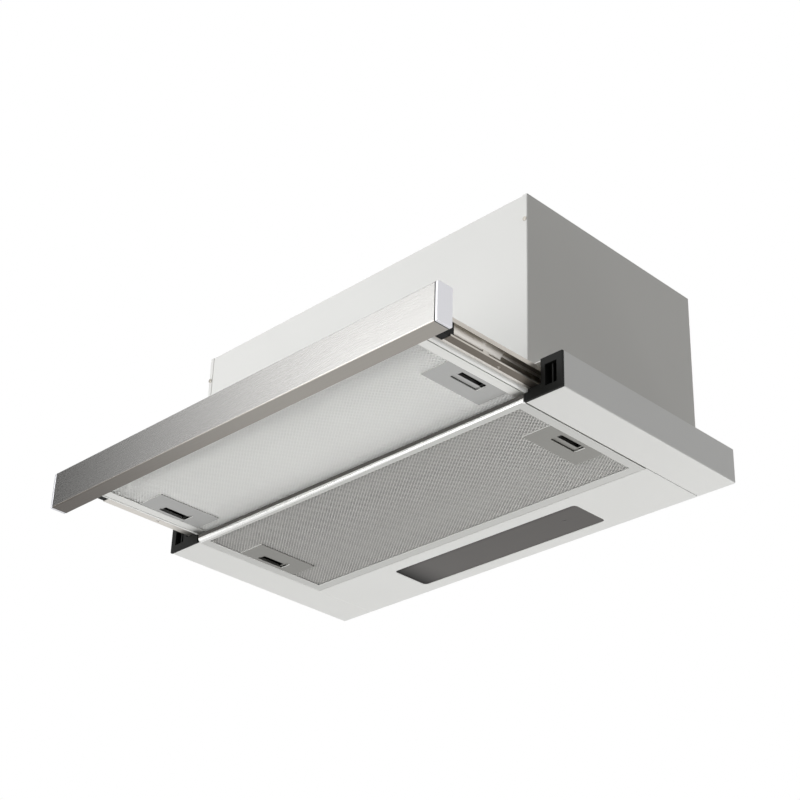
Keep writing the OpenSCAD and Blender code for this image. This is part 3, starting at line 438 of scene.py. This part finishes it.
def foldLine(corners, bend, steps):
    # a line through the corners with an arc at each inner one, whose rays turn evenly from one tangent
    # point to the other, and the line's left-hand normals
    corners = np.array(corners, float)
    line, normals = [], []
    left = lambda v: np.array([-v[1], v[0]])
    unit = lambda v: v / np.linalg.norm(v)
    for i, corner in enumerate(corners):
        if i in (0, len(corners) - 1):
            leg = unit(corners[1] - corners[0]) if i == 0 else unit(corners[-1] - corners[-2])
            line.append(corner[None])
            normals.append(left(leg)[None])
            continue
        back, ahead = unit(corners[i - 1] - corner), unit(corners[i + 1] - corner)
        half = math.acos(float(back @ ahead)) / 2
        centre = corner + unit(back + ahead) * bend / math.sin(half)
        first = unit(corner + back * bend / math.tan(half) - centre)
        last = unit(corner + ahead * bend / math.tan(half) - centre)
        side = np.sign(left(-back) @ first)
        turn = math.pi - 2 * half
        t = np.linspace(0, 1, steps + 1)[:, None]
        rays = (first * np.sin((1 - t) * turn) + last * np.sin(t * turn)) / math.sin(turn)
        line.append(centre + rays * bend)
        normals.append(rays * side)
    return np.concatenate(line), np.concatenate(normals)


def foldedSheet(corners, bend, thickness, axis, low, high, steps=5):
    # a sheet bent along the corners of its middle line and carried straight along one axis
    line, normals = foldLine(corners, bend, steps)
    ring = np.concatenate([line + normals * thickness / 2, (line - normals * thickness / 2)[::-1]])
    count, half = len(ring), len(line)
    flat = [i for i in range(3) if i != axis]
    points = np.zeros((2, count, 3))
    points[:, :, flat[0]] = ring[:, 0]
    points[:, :, flat[1]] = ring[:, 1]
    points[0, :, axis] = low
    points[1, :, axis] = high
    i = np.arange(count)
    j = (i + 1) % count
    sides = np.stack([i, j, j + count, i + count], axis=1)
    k = np.arange(half - 1)
    cap = np.stack([k, k + 1, count - 2 - k, count - 1 - k], axis=1)
    return points, np.concatenate([sides, cap, cap[:, ::-1] + count])


def block(low, high):
    # a plain box between two corners, for inner ribs, feet and walls
    grid = np.array([[x, y, z] for x in (0, 1) for y in (0, 1) for z in (0, 1)], float)
    points = np.array(low) + grid * (np.array(high) - np.array(low))
    faces = np.array([[0, 1, 3, 2], [4, 6, 7, 5], [0, 4, 5, 1], [2, 3, 7, 6], [0, 2, 6, 4], [1, 5, 7, 3]])
    return points, faces


def boxMm(node):
    # a node's corners in mm
    low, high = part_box(node)
    return np.array(low) / mm, np.array(high) / mm


def sheetPiece(name, parts, body, material, replaced, edge=0.15):
    # folded sheets and blocks joined in one piece, with the cut edges just broken
    mesh = meshOf(name, parts)
    outward(mesh)
    piece = addPiece(name, mesh, body, material, replaced)
    return rounded(piece, edge, segments=1, angle=60)


# Body: side sheets folded at the front and the rear

sheet = {
    "thickness": 0.8,
    "bend": 1.2,  # middle radius of a fold
}
bodySheet = {
    "flange": 6,  # lap over the front and the rear panel
    "foot": 9.0,  # width of the foot on the base
    "footFront": 2.4,  # from the front flange's face to the foot
    "footRear": 1.6,  # from the rear flange's face to the foot
    "edge": 0.2,  # rounding of the panels between them
}


def bodySide(node, side):
    low, high = boxMm(node)
    t = sheet["thickness"]
    outer = max(abs(low[0]), abs(high[0])) - t / 2
    flange = outer + t / 2 - bodySheet["flange"]
    corners = [(side * flange, low[1] + t / 2), (side * outer, low[1] + t / 2),
               (side * outer, high[1] - t / 2), (side * flange, high[1] - t / 2)]
    foot = sorted((side * (outer - t / 2 - bodySheet["foot"]), side * (outer - t / 2)))
    front, rear = low[1] + bodySheet["footFront"], high[1] - bodySheet["footRear"]
    parts = [
        foldedSheet(corners, sheet["bend"], t, 2, 0, high[2]),
        block((foot[0], front, low[2]), (foot[1], rear, low[2] + t)),
    ]
    name = "bodySide" + ("Right" if side > 0 else "Left")
    piece = sheetPiece(name, parts, "hood", bodyPaintPaintedShade, [node])
    # the faces that look sideways get the darker copy, painted shade of the body's sides
    finishWhere(piece, bodySidePaintedShade, lambda middle, normal: abs(normal.x) > meshing["square"])


bodySide("body_side_left", -1)
bodySide("body_side_right", 1)
for node in ("body_front_panel", "body_rear_panel", "body_top_panel"):
    softenedCopy(node, bodySheet["edge"], bodyPaintPaintedShade, segments=1)
print("body made")

# Base: two folded channels, the top plate and the rear plate

channel = {
    "lip": 7,  # height of the lip beside the filter
    "slideWall": 271.0,  # from the middle of the hood to the wall that carries the slide
}
baseEdges = {  # rounding in mm
    "topPlate": 0.2,
    "rearPlate": 0.25,
    "endCap": 0.5,
    "lens": 0.5,
}


def baseChannel(node, side):
    low, high = boxMm(node)
    t = sheet["thickness"]
    inner, outer = sorted((abs(low[0]), abs(high[0])))
    line = [(inner + t / 2, low[2] + channel["lip"]), (inner + t / 2, low[2] + t / 2),
            (outer - t / 2, low[2] + t / 2), (outer - t / 2, high[2])]
    corners = [(side * x, z) for x, z in line]
    wall = sorted((side * channel["slideWall"], side * (channel["slideWall"] + t)))
    tab = sorted((side * (inner + 2 * t), side * (outer - 2 * t)))
    parts = [
        foldedSheet(corners, sheet["bend"], t, 1, low[1], high[1]),
        block((wall[0], low[1], low[2] + t / 2), (wall[1], high[1], high[2] - t)),
        block((tab[0], high[1] - t, low[2] + t / 2), (tab[1], high[1], high[2] - t)),
    ]
    name = "baseChannel" + ("Right" if side > 0 else "Left")
    sheetPiece(name, parts, "hood", paint, [node])


baseChannel("base_channel_left", -1)
baseChannel("base_channel_right", 1)
softenedCopy("base_top_plate", baseEdges["topPlate"], paint, segments=1)
softenedCopy("base_rear_plate", baseEdges["rearPlate"], paint)
softenedCopy("end_cap_left", baseEdges["endCap"], blackAbs)
softenedCopy("end_cap_right", baseEdges["endCap"], blackAbs)
softenedCopy("light_lens", baseEdges["lens"], lens)
print("base made")

# Front panel: one folded sheet of brushed steel between two moulded ends

panel = {
    "bend": 1.2,  # middle radius of a fold
    "bendSteps": 8,
    "lip": 7,  # height of the rear lips
    # faces below this take the mill finish with its painted shade
    "under": -0.2,  # faces whose normal points further down keep the mill's finish
    "edge": 0.4,  # rounding of the moulded ends
    # the seam is a black strip, painted shadow of the gap between the sheet and its ends
    "seam": 1.0,  # dark joint between the sheet and its moulded ends
    "seamInset": 0.3,  # how far it lies back from the sheet's upper and lower face
}


def frontPanel():
    low, high = boxMm("front_panel")
    t = sheet["thickness"]
    y0, y1 = low[1] + t / 2, high[1] - t / 2
    z0, z1 = low[2] + t / 2, high[2] - t / 2
    lip, seam = panel["lip"], panel["seam"]
    corners = [(y1, z0 + lip), (y1, z0), (y0, z0), (y0, z1), (y1, z1), (y1, z1 - lip)]
    parts = [foldedSheet(corners, panel["bend"], t, 0, low[0] + seam, high[0] - seam, panel["bendSteps"])]
    piece = sheetPiece("frontPanelSheet", parts, "tray", stainless, ["front_panel"])
    # painted shade on the faces that look down
    finishWhere(piece, stainlessUnderPaintedShade, lambda middle, normal: normal.z < panel["under"])
    inset = np.array([0, 1, 1]) * panel["seamInset"]
    low, high = low + inset, high - inset
    # black strips between the sheet and its ends: painted shadow of the gap
    seams = [block((x, low[1], low[2]), (x + seam, high[1], high[2])) for x in (low[0], high[0] - seam)]
    sheetPiece("frontPanelSeamsPaintedShadow", seams, "tray", blackAbs, ["front_panel"])
    softenedCopy("front_panel_ends", panel["edge"], silverAbs, segments=3)


frontPanel()
print("front panel made")

# Tray: its sides on two ball slides, the glass cover and the controls

trayEdges = {  # rounding in mm
    "side": 0.15,
    "runner": 0.3,
    "rail": 0.25,
    "cage": 0.15,
    "bracket": 0.6,
    "beam": 0.15,
    "cover": 0.4,
    "controls": 0.5,
}
runnerFinish = {
    # where the painted light and shade on the runners go
    "sole": -26,  # faces that look down below this height are bright
    "outside": 258.4,  # further out than this, each runner has a finish of its own
    "outsideTop": -25,  # up to this height
}
raceway = {
    "sheet": 0.25,  # thickness
    "bend": 2.8,  # radius where the balls run
    "depth": 5.5,  # height of its upright leg
    "wideBend": 8.2,  # radius in front of that, where the balls never come
    "wideDepth": 8.4,
    "wideEnd": 109.0,  # where that stretch ends, from the tray's front
    "tall": 0.95,  # its height for each mm of its width
    "bendSteps": 12,
    "endGap": 0.5,  # kept free at both ends of the runner
}


def raceways():
    # the hard polished track in the upper corner of each runner: a sheet folded along its middle line,
    # pressed flatter about its top in its front stretch; its pale zinc is partly the polish and partly
    # painted light
    thick, gap = raceway["sheet"], raceway["endGap"]
    for side, name in ((-1, "left"), (1, "right")):
        low, high = boxMm("slide_runner_" + name)
        t = sheet["thickness"]
        web = min(abs(low[0]), abs(high[0])) + t + thick / 2
        lip = max(abs(low[0]), abs(high[0])) - t
        top = high[2] - t - thick
        middle = low[1] + raceway["wideEnd"]
        stretches = (
            (low[1] + gap, middle, raceway["wideBend"], raceway["wideDepth"], raceway["tall"]),
            (middle, high[1] - gap, raceway["bend"], raceway["depth"], 1),
        )
        parts = []
        for y0, y1, bend, depth, tall in stretches:
            corners = [(side * web, top - depth), (side * web, top), (side * lip, top)]
            points, faces = foldedSheet(corners, bend, thick, 1, y0, y1, raceway["bendSteps"])
            points[:, :, 2] = top + (points[:, :, 2] - top) * tall
            parts.append((points, faces))
        sheetPiece(camel("slide_raceway_" + name), parts, "tray", zincTrackPaintedLight, (), 0)


def runnerUnderside(runner, outer):
    # painted light on the faces that look down; on the outer part of the lower lip, the given finish: painted
    # light on the left runner, painted shade on the right one
    square, outside = meshing["square"], runnerFinish["outside"]

    def isPaintedLightSole(middle, normal):
        return normal.z < -square and middle.z < runnerFinish["sole"]

    def isOuter(middle, normal):
        level = normal.z < -square or abs(normal.x) > square
        return level and middle.z < runnerFinish["outsideTop"] and abs(middle.x) > outside

    finishWhere(runner, zincBrightPaintedLight, isPaintedLightSole)
    finishWhere(runner, outer, isOuter, [((x, 0, 0), (1, 0, 0)) for x in (-outside, outside)])


def trayPieces():
    # only the right runner's outer lower lip gets painted shade; the left one's gets painted light
    for side, outer in (("left", zincBrightPaintedLight), ("right", zincUnderPaintedShade)):
        # the tray's sides carry the lighter copy of the white powder coat, as painted light
        softenedCopy("tray_side_" + side, trayEdges["side"], trayPaintPaintedLight, segments=1)
        runner = softenedCopy("slide_runner_" + side, trayEdges["runner"], zinc)
        runnerUnderside(runner, outer)
        softenedCopy("slide_rail_" + side, trayEdges["rail"], zinc)
        softenedCopy("slide_cage_" + side, trayEdges["cage"], zinc, segments=1)
        softenedCopy("runner_bracket_" + side, trayEdges["bracket"], blackAbs)
    softenedCopy("tray_front_beam", trayEdges["beam"], paint, segments=1)
    softenedCopy("tray_rear_tie", trayEdges["beam"], paint, segments=1)
    softenedCopy("tray_cover", trayEdges["cover"], glass)
    for node in ("control_housing", "speed_slider", "light_slider"):
        softenedCopy(node, trayEdges["controls"], blackAbs)


trayPieces()
raceways()
print("tray made")

# Filters: see-through nets of expanded aluminium in folded frames

net = {
    "frameSide": 12,  # width of the frame's lower flange at the sides
    "frameRear": 12,
    "frameFront": 8,
    "frameSheet": 0.8,  # its thickness
    "frameEdge": 0.3,  # its rounding
    "roll": 4.5,  # radius of the front lower fold
    "sideGap": 0.6,  # widens the dark joint beside the frame
    "rolled": -0.1,  # faces of the fold whose normal points further forward are polished
    "sill": 0.05,  # above the sheet, up to here walls of the frame count as cut edges
    # the foam on these faces is painted shade
    "frontWall": 1,  # faces this close to the front, above the fold, carry the foam
    "overlap": 1,  # how far the net reaches under the frame and the latch plates
    "cell": (5.2, 3.8),  # along X and Y
    "strand": 0.75,  # width
    "strandThickness": 0.35,
    "lift": 0.5,  # how far a strand rises from valley to peak
    "height": 1.25,  # of the face's middle above the frame's lower face
    "core": (1.9, 2.7),  # lower and upper face of the layers above the frame's lower face
    "plateInner": 200.0,  # where the latch plates begin
    "plateLength": 83.0,
}


def strandNet(area, cell, height, strand, thickness, lift):
    # expanded metal: strand k is a flat bar that zigzags along X between knuckle rows k and k+1, and every
    # other strand starts half a cell later, so that its valleys meet the peaks of the strand before it
    stepX, stepY = cell[0] / 2, cell[1] / 2
    i0, i1, k0, k1 = (round(value / step) for value, step in zip(area, (stepX, stepX, stepY, stepY)))
    i, k = np.meshgrid(np.arange(i0, i1 + 1), np.arange(k0, k1))
    peak = (i + k) % 2
    path = np.stack([i * stepX, (k + peak) * stepY, height + lift * (peak - 0.5)], axis=-1)
    corner = np.array([[0, -1, -1], [0, 1, -1], [0, 1, 1], [0, -1, 1]]) * [0, strand / 2, thickness / 2]
    points = path[:, :, None, :] + corner
    rows, columns = k.shape
    r, c = np.meshgrid(np.arange(rows), np.arange(columns - 1), indexing="ij")
    first = ((r * columns + c) * 4)[:, :, None]
    here = np.arange(4)
    after = (here + 1) % 4
    walls = np.stack([first + here, first + after, first + after + 4, first + here + 4], axis=-1)
    start = np.arange(rows)[:, None] * columns * 4
    near = start + np.array([[3, 2, 1, 0]])
    far = start + (columns - 1) * 4 + np.array([[0, 1, 2, 3]])
    return points, np.concatenate([walls.reshape(-1, 4), near, far])


def sheetMap(xs, ys, height, kept):
    # a flat sheet of the kept cells between the lines xs and ys, one four-cornered face for each
    x, y = np.meshgrid(xs, ys, indexing="ij")
    points = np.stack([x, y, np.full(x.shape, float(height))], axis=-1)
    i, j = np.nonzero(kept)
    first = i * len(ys) + j
    return points, np.stack([first, first + len(ys), first + len(ys) + 1, first + 1], axis=-1)


def filterNets(prefix, body):
    # the face and the layers behind it fill the frame but for the two latch plates
    finish = filterFinish[body]
    meshNode = body + "_mesh"
    low, high = boxMm(body + "_frame")
    over = net["overlap"]
    x1 = high[0] - net["frameSide"] + over
    y0, y1 = low[1] + net["frameFront"] - over, high[1] - net["frameRear"] + over
    midY = (low[1] + high[1]) / 2
    plate = net["plateInner"] + over
    yA, yB = midY - net["plateLength"] / 2 + over, midY + net["plateLength"] / 2 - over
    areas = [(-x1, x1, y0, yA), (-plate, plate, yA, yB), (-x1, x1, yB, y1)]
    height = low[2] + net["height"]
    strands = [strandNet(area, net["cell"], height, net["strand"], net["strandThickness"], net["lift"])
               for area in areas]
    name = prefix + "FaceNet"
    face = meshOf(name, strands)
    addPiece(name, face, body, finish["net"], [meshNode], smooth=None)
    bottom, top = low[2] + np.array(net["core"])
    kept = np.array([[1, 0, 1], [1, 1, 1], [1, 0, 1]], dtype=bool)
    name = prefix + "Core"
    layers = meshOf(name, [sheetMap((-x1, -plate, plate, x1), (y0, yA, yB, y1), bottom, kept)])
    outward(layers)
    core = addPiece(name, layers, body, finish["core"], [meshNode], smooth=None)
    wall = core.modifiers.new("thickness", "SOLIDIFY")
    wall.thickness = (top - bottom) * mm
    wall.offset = -1


def filterRim(body):
    # the frame with its rolled front fold, a gap at both sides, its cut edges, and grey foam above the fold
    # as painted shade
    low, high = boxMm(body + "_frame")
    finish = filterFinish[body]["frame"]
    rim = softenedCopy(body + "_frame", net["frameEdge"], finish)
    rolledEdge(rim, low[1], low[2])
    spots = np.empty(len(rim.data.vertices) * 3)
    rim.data.vertices.foreach_get("co", spots)
    spots = spots.reshape(-1, 3)
    spots[:, 0] = np.clip(spots[:, 0], (low[0] + net["sideGap"]) * mm, (high[0] - net["sideGap"]) * mm)
    rim.data.vertices.foreach_set("co", spots.ravel())
    sill = low[2] + net["frameSheet"] + net["sill"]
    rollY, rollZ = low[1] + net["roll"], low[2] + net["roll"]
    front = low[1] + net["frontWall"]
    square, rolled = meshing["square"], net["rolled"]
    finishWhere(rim, cutEdge, lambda middle, normal: abs(normal.z) < square and middle.z < sill)
    finishWhere(rim, brightAluminium, lambda middle, normal: middle.y < rollY and normal.y < rolled)
    # painted shade: dark grey foam on the front wall above the fold
    finishWhere(rim, sealFoamPaintedShade, lambda middle, normal: middle.y < front and middle.z > rollZ)


def onLine(edge, y, z):
    # whether an edge lies on the line along X at Y and Z in mm
    near = meshing["near"]
    return all(abs(v.co.y / mm - y) < near and abs(v.co.z / mm - z) < near for v in edge.verts)


def rolledEdge(piece, y, z):
    # rounds the frame's front lower fold, its outer and its inner edge about one line
    edit = bmesh.new()
    edit.from_mesh(piece.data)
    for inset in (0, net["frameSheet"]):
        fold = [edge for edge in edit.edges if onLine(edge, y + inset, z + inset)]
        reach = (net["roll"] - inset) * mm
        bmesh.ops.bevel(edit, geom=fold, offset=reach, segments=7, profile=0.5, affect="EDGES")
    edit.to_mesh(piece.data)
    edit.free()


latch = {
    "plateRounding": 0.25,
    "sliderRounding": 0.3,
    "plateEdge": -0.5,  # faces of the plates whose normal points further forward are cut edges
    "slotInner": 217.5,  # from the middle of the hood to the slot
    # gap and well: where the slider is painted black, as painted shadow beside the slot and at the well's
    # ends
    "gap": 0.7,  # dark line beside the slider
    "guide": (216.5, 224.0, 17.3, 20.0),  # X from and to, Y from and to beside the slider
    "guideHeight": (-0.1, 1.5),  # lower and upper face about the slider's lower face
    "well": (224.4, 232.6, 15.0),  # X from and to, half length of the dark ends
    "cupInner": 206.6,  # X from
    "cupOuter": 246.0,  # and to
    "cupHalf": 20.8,  # half its length along Y
    "cupHeight": (-0.2, 4.6),  # lower and upper face about the slider's lower face
    "cupWall": 0.6,
}


def latches(body):
    # a plate at each short side, its sliding latch painted black as shadow beside the slot and at the well's
    # ends, and the black cup that closes the finger well
    finish = filterFinish[body]
    plates = softenedCopy(body + "_latch_plates", latch["plateRounding"], finish["plate"])
    finishWhere(plates, cutEdge, lambda middle, normal: normal.y < latch["plateEdge"])
    low, high = boxMm(body + "_latch_right")
    midY = (low[1] + high[1]) / 2
    edge = latch["slotInner"] + latch["gap"]
    w0, w1, wellHalf = latch["well"]
    w = latch["cupWall"]
    y0, y1 = midY - latch["cupHalf"], midY + latch["cupHalf"]
    z0, z1 = (low[2] + height for height in latch["cupHeight"])
    guideX0, guideX1, guideY0, guideY1 = latch["guide"]
    guideZ0, guideZ1 = (low[2] + height for height in latch["guideHeight"])

    def dark(middle, normal):
        inWell = w0 < abs(middle.x) < w1 and abs(middle.y - midY) > wellHalf
        return abs(middle.x) < edge or inWell

    cups, guides = [], []
    for side, name in ((-1, "left"), (1, "right")):
        node = body + "_latch_" + name
        slider = softenedCopy(node, latch["sliderRounding"], finish["plate"])
        # painted shadow: the slider turns black beside the slot and at the ends of the well
        finishWhere(slider, blackAbs, dark, [((side * x, 0, 0), (1, 0, 0)) for x in (edge, w0, w1)])
        x0, x1 = sorted((side * latch["cupInner"], side * latch["cupOuter"]))
        inside = x0 if side > 0 else x1 - w
        cups += [
            block((x0, y0, z1 - w), (x1, y1, z1)),
            block((inside, y0, z0), (inside + w, y1, z1 - w)),
            block((x0 + w, y0, z0), (x1 - w, y0 + w, z1 - w)),
            block((x0 + w, y1 - w, z0), (x1 - w, y1, z1 - w)),
        ]
        g0, g1 = sorted((side * guideX0, side * guideX1))
        for a, b in ((midY - guideY1, midY - guideY0), (midY + guideY0, midY + guideY1)):
            guides.append(block((g0, a, guideZ0), (g1, b, guideZ1)))
    sheetPiece(camel(body) + "LatchCups", cups, body, blackAbs, (), 0)
    sheetPiece(camel(body) + "LatchGuides", guides, body, finish["plate"], (), 0)


for body in ("filter", "tray_filter"):
    filterNets(camel(body), body)
    filterRim(body)
    latches(body)
print("filters made")

# Outlet, blower and electrical parts: rounding in mm, material and the record's slot

inner = {
    "duct_outlet": (0.6, housingAbs, "housing_plastic"),
    "damper_front": (0.3, housingAbs, "housing_plastic"),
    "damper_rear": (0.3, housingAbs, "housing_plastic"),
    "damper_pin": (0.2, zinc, "zinc_steel"),
    "cable_gland": (0.4, blackAbs, "black_plastic"),
    "blower_housing": (0.5, housingAbs, "housing_plastic"),
    "motor": (0.8, motorSteel, "motor_steel"),
    "motor_shaft": (0.3, zinc, "zinc_steel"),
    "motor_bracket": (0.3, zinc, "zinc_steel"),
    "capacitor": (0.8, capacitorWhite, "housing_plastic"),
    "terminal_box": (0.8, greyAbs, "grey_plastic"),
    "tray_switch": (0.4, blackAbs, "black_plastic"),
    "switch_plunger": (0.3, switchRed, "button_plastic"),
    "light_housing": (0.2, zinc, "zinc_steel"),
    "light_board": (0.2, boardWhite, "board"),
    "body_screws": (0.25, zinc, "zinc_steel"),
    "base_screws": (0.3, zinc, "zinc_steel"),
}
keptNodes = {  # their own shape stays, with a better material
    "blower_wheel": housingAbs,
    "slide_balls_left": ballSteel,
    "slide_balls_right": ballSteel,
}
for node, (width, material, slotName) in inner.items():
    softenedCopy(node, width, material)
for node, material in keptNodes.items():
    for entry in nodes[node].material_slots:
        entry.material = material
print("outlet and inner parts made")

# Studio

studio = {
    "ambient": 0.25,  # strength of the light all round
    "floorHeight": -2.3,
    "floorHalf": 6,  # half its length and width
    "floorGrain": (8, 8, 8),  # mm
    "glow": 0.8,  # how white the floor looks to the camera and in metal
    "aim": (0, -0.05, 0.0),  # what the lamps point at
    "lamps": {  # place, size and watts
        "front": ((-0.9, -2.7, 0.35), (2.0, 1.6), 50),
        "low": ((-0.7, -2.3, -0.85), (1.4, 0.8), 13),
        "under": ((0.3, 2.1, -1.75), (0.9, 0.9), 29),
        "top": ((0.2, -0.4, 2.6), (2.4, 2.4), 38),
        "rear": ((-0.7, 2.6, 0.9), (1.8, 1.8), 22),
    },
    # dark card that darkens the left end of the steel: place, size and what it faces
    "flag": ((-2.76, -1.34, 1.0), (1.3, 2.0), (-0.3, -0.31, -0.02)),
    "flagWeave": (3, 3, 3),  # mm
}


def seenDirectly(tree):
    # 1 for camera, glossy and transmission rays, which meet the white background, and 0 for the light's own
    path = addNode(tree, "LightPath")
    sources = [path.outputs["Is " + kind + " Ray"] for kind in ("Camera", "Glossy", "Transmission")]
    first = addNode(tree, "Math", links={0: sources[0], 1: sources[1]}, operation="MAXIMUM")
    both = addNode(tree, "Math", links={0: first.outputs[0], 1: sources[2]}, operation="MAXIMUM")
    return both.outputs[0]


def card(name, x, y, z, material):
    # a flat rectangle with half sizes x and y at the height z
    mesh = bpy.data.meshes.new(name)
    mesh.from_pydata([(-x, -y, z), (x, -y, z), (x, y, z), (-x, y, z)], [], [(0, 1, 2, 3)])
    mesh.materials.append(material)
    piece = bpy.data.objects.new(name, mesh)
    scene.collection.objects.link(piece)
    return piece


def makeWorld():
    # dim white light all round, and full white where it is seen directly
    world = bpy.data.worlds.new("studio")
    scene.world = world
    world.use_nodes = True
    tree = world.node_tree
    tree.nodes.clear()
    white = (1, 1, 1, 1)
    dim = addNode(tree, "Background", {"Color": white, "Strength": studio["ambient"]})
    full = addNode(tree, "Background", {"Color": white, "Strength": 1.0})
    mix = addNode(tree, "MixShader", links={0: seenDirectly(tree), 1: dim.outputs[0], 2: full.outputs[0]})
    addNode(tree, "OutputWorld", links={"Surface": mix.outputs[0]})


def makeFloor():
    # white studio paper, nearly as bright as the background where it is seen directly
    material, tree, shader = newMaterial("floorPaper", Roughness=0.9)
    grain = addNode(tree, "TexNoise", {"Scale": 1.0, "Detail": 2.0},
                    {"Vector": countedIn(tree, studio["floorGrain"])})
    leadPattern(tree, shader, grain.outputs[0], tones=("#efefed", "#f3f3f1"))
    glow = addNode(tree, "Emission", {"Color": (1, 1, 1, 1), "Strength": 1.0})
    share = addNode(tree, "Math", {1: studio["glow"]}, {0: seenDirectly(tree)}, operation="MULTIPLY")
    lit = addNode(tree, "MixShader", links={0: share.outputs[0], 1: shader.outputs[0], 2: glow.outputs[0]})
    tree.links.new(lit.outputs[0], tree.nodes["Material Output"].inputs["Surface"])
    floor = card("floor", studio["floorHalf"], studio["floorHalf"], studio["floorHeight"], material)


def makeLamps():
    # soft boxes that point at the hood, unseen by the camera; the top one doesn't show in metal either
    for name, (place, size, watts) in studio["lamps"].items():
        lamp = bpy.data.lights.new(name, "AREA")
        lamp.shape = "RECTANGLE"
        lamp.size, lamp.size_y = size
        lamp.energy = watts
        holder = bpy.data.objects.new(name, lamp)
        holder.location = place
        holder.rotation_euler = (Vector(studio["aim"]) - Vector(place)).to_track_quat("-Z", "Y").to_euler()
        holder.visible_camera = False
        holder.visible_glossy = name != "top"
        scene.collection.objects.link(holder)


def makeFlag():
    # black molton cloth that only metal sees: it takes no light from the object and throws no shadow
    material, tree, shader = newMaterial("flagCloth", Roughness=1.0, Specular_IOR_Level=0.0)
    weave = addNode(tree, "TexNoise", {"Scale": 1.0}, {"Vector": countedIn(tree, studio["flagWeave"])})
    leadPattern(tree, shader, weave.outputs[0], tones=("#141312", "#1a1918"))
    place, (width, height), faced = studio["flag"]
    flag = card("flag", width / 2, height / 2, 0, material)
    flag.location = place
    flag.rotation_euler = (Vector(faced) - Vector(place)).to_track_quat("Z", "Y").to_euler()
    flag.visible_camera = False
    flag.visible_diffuse = False
    flag.visible_transmission = False
    flag.visible_shadow = False


makeWorld()
makeFloor()
makeLamps()
makeFlag()
print("studio made")
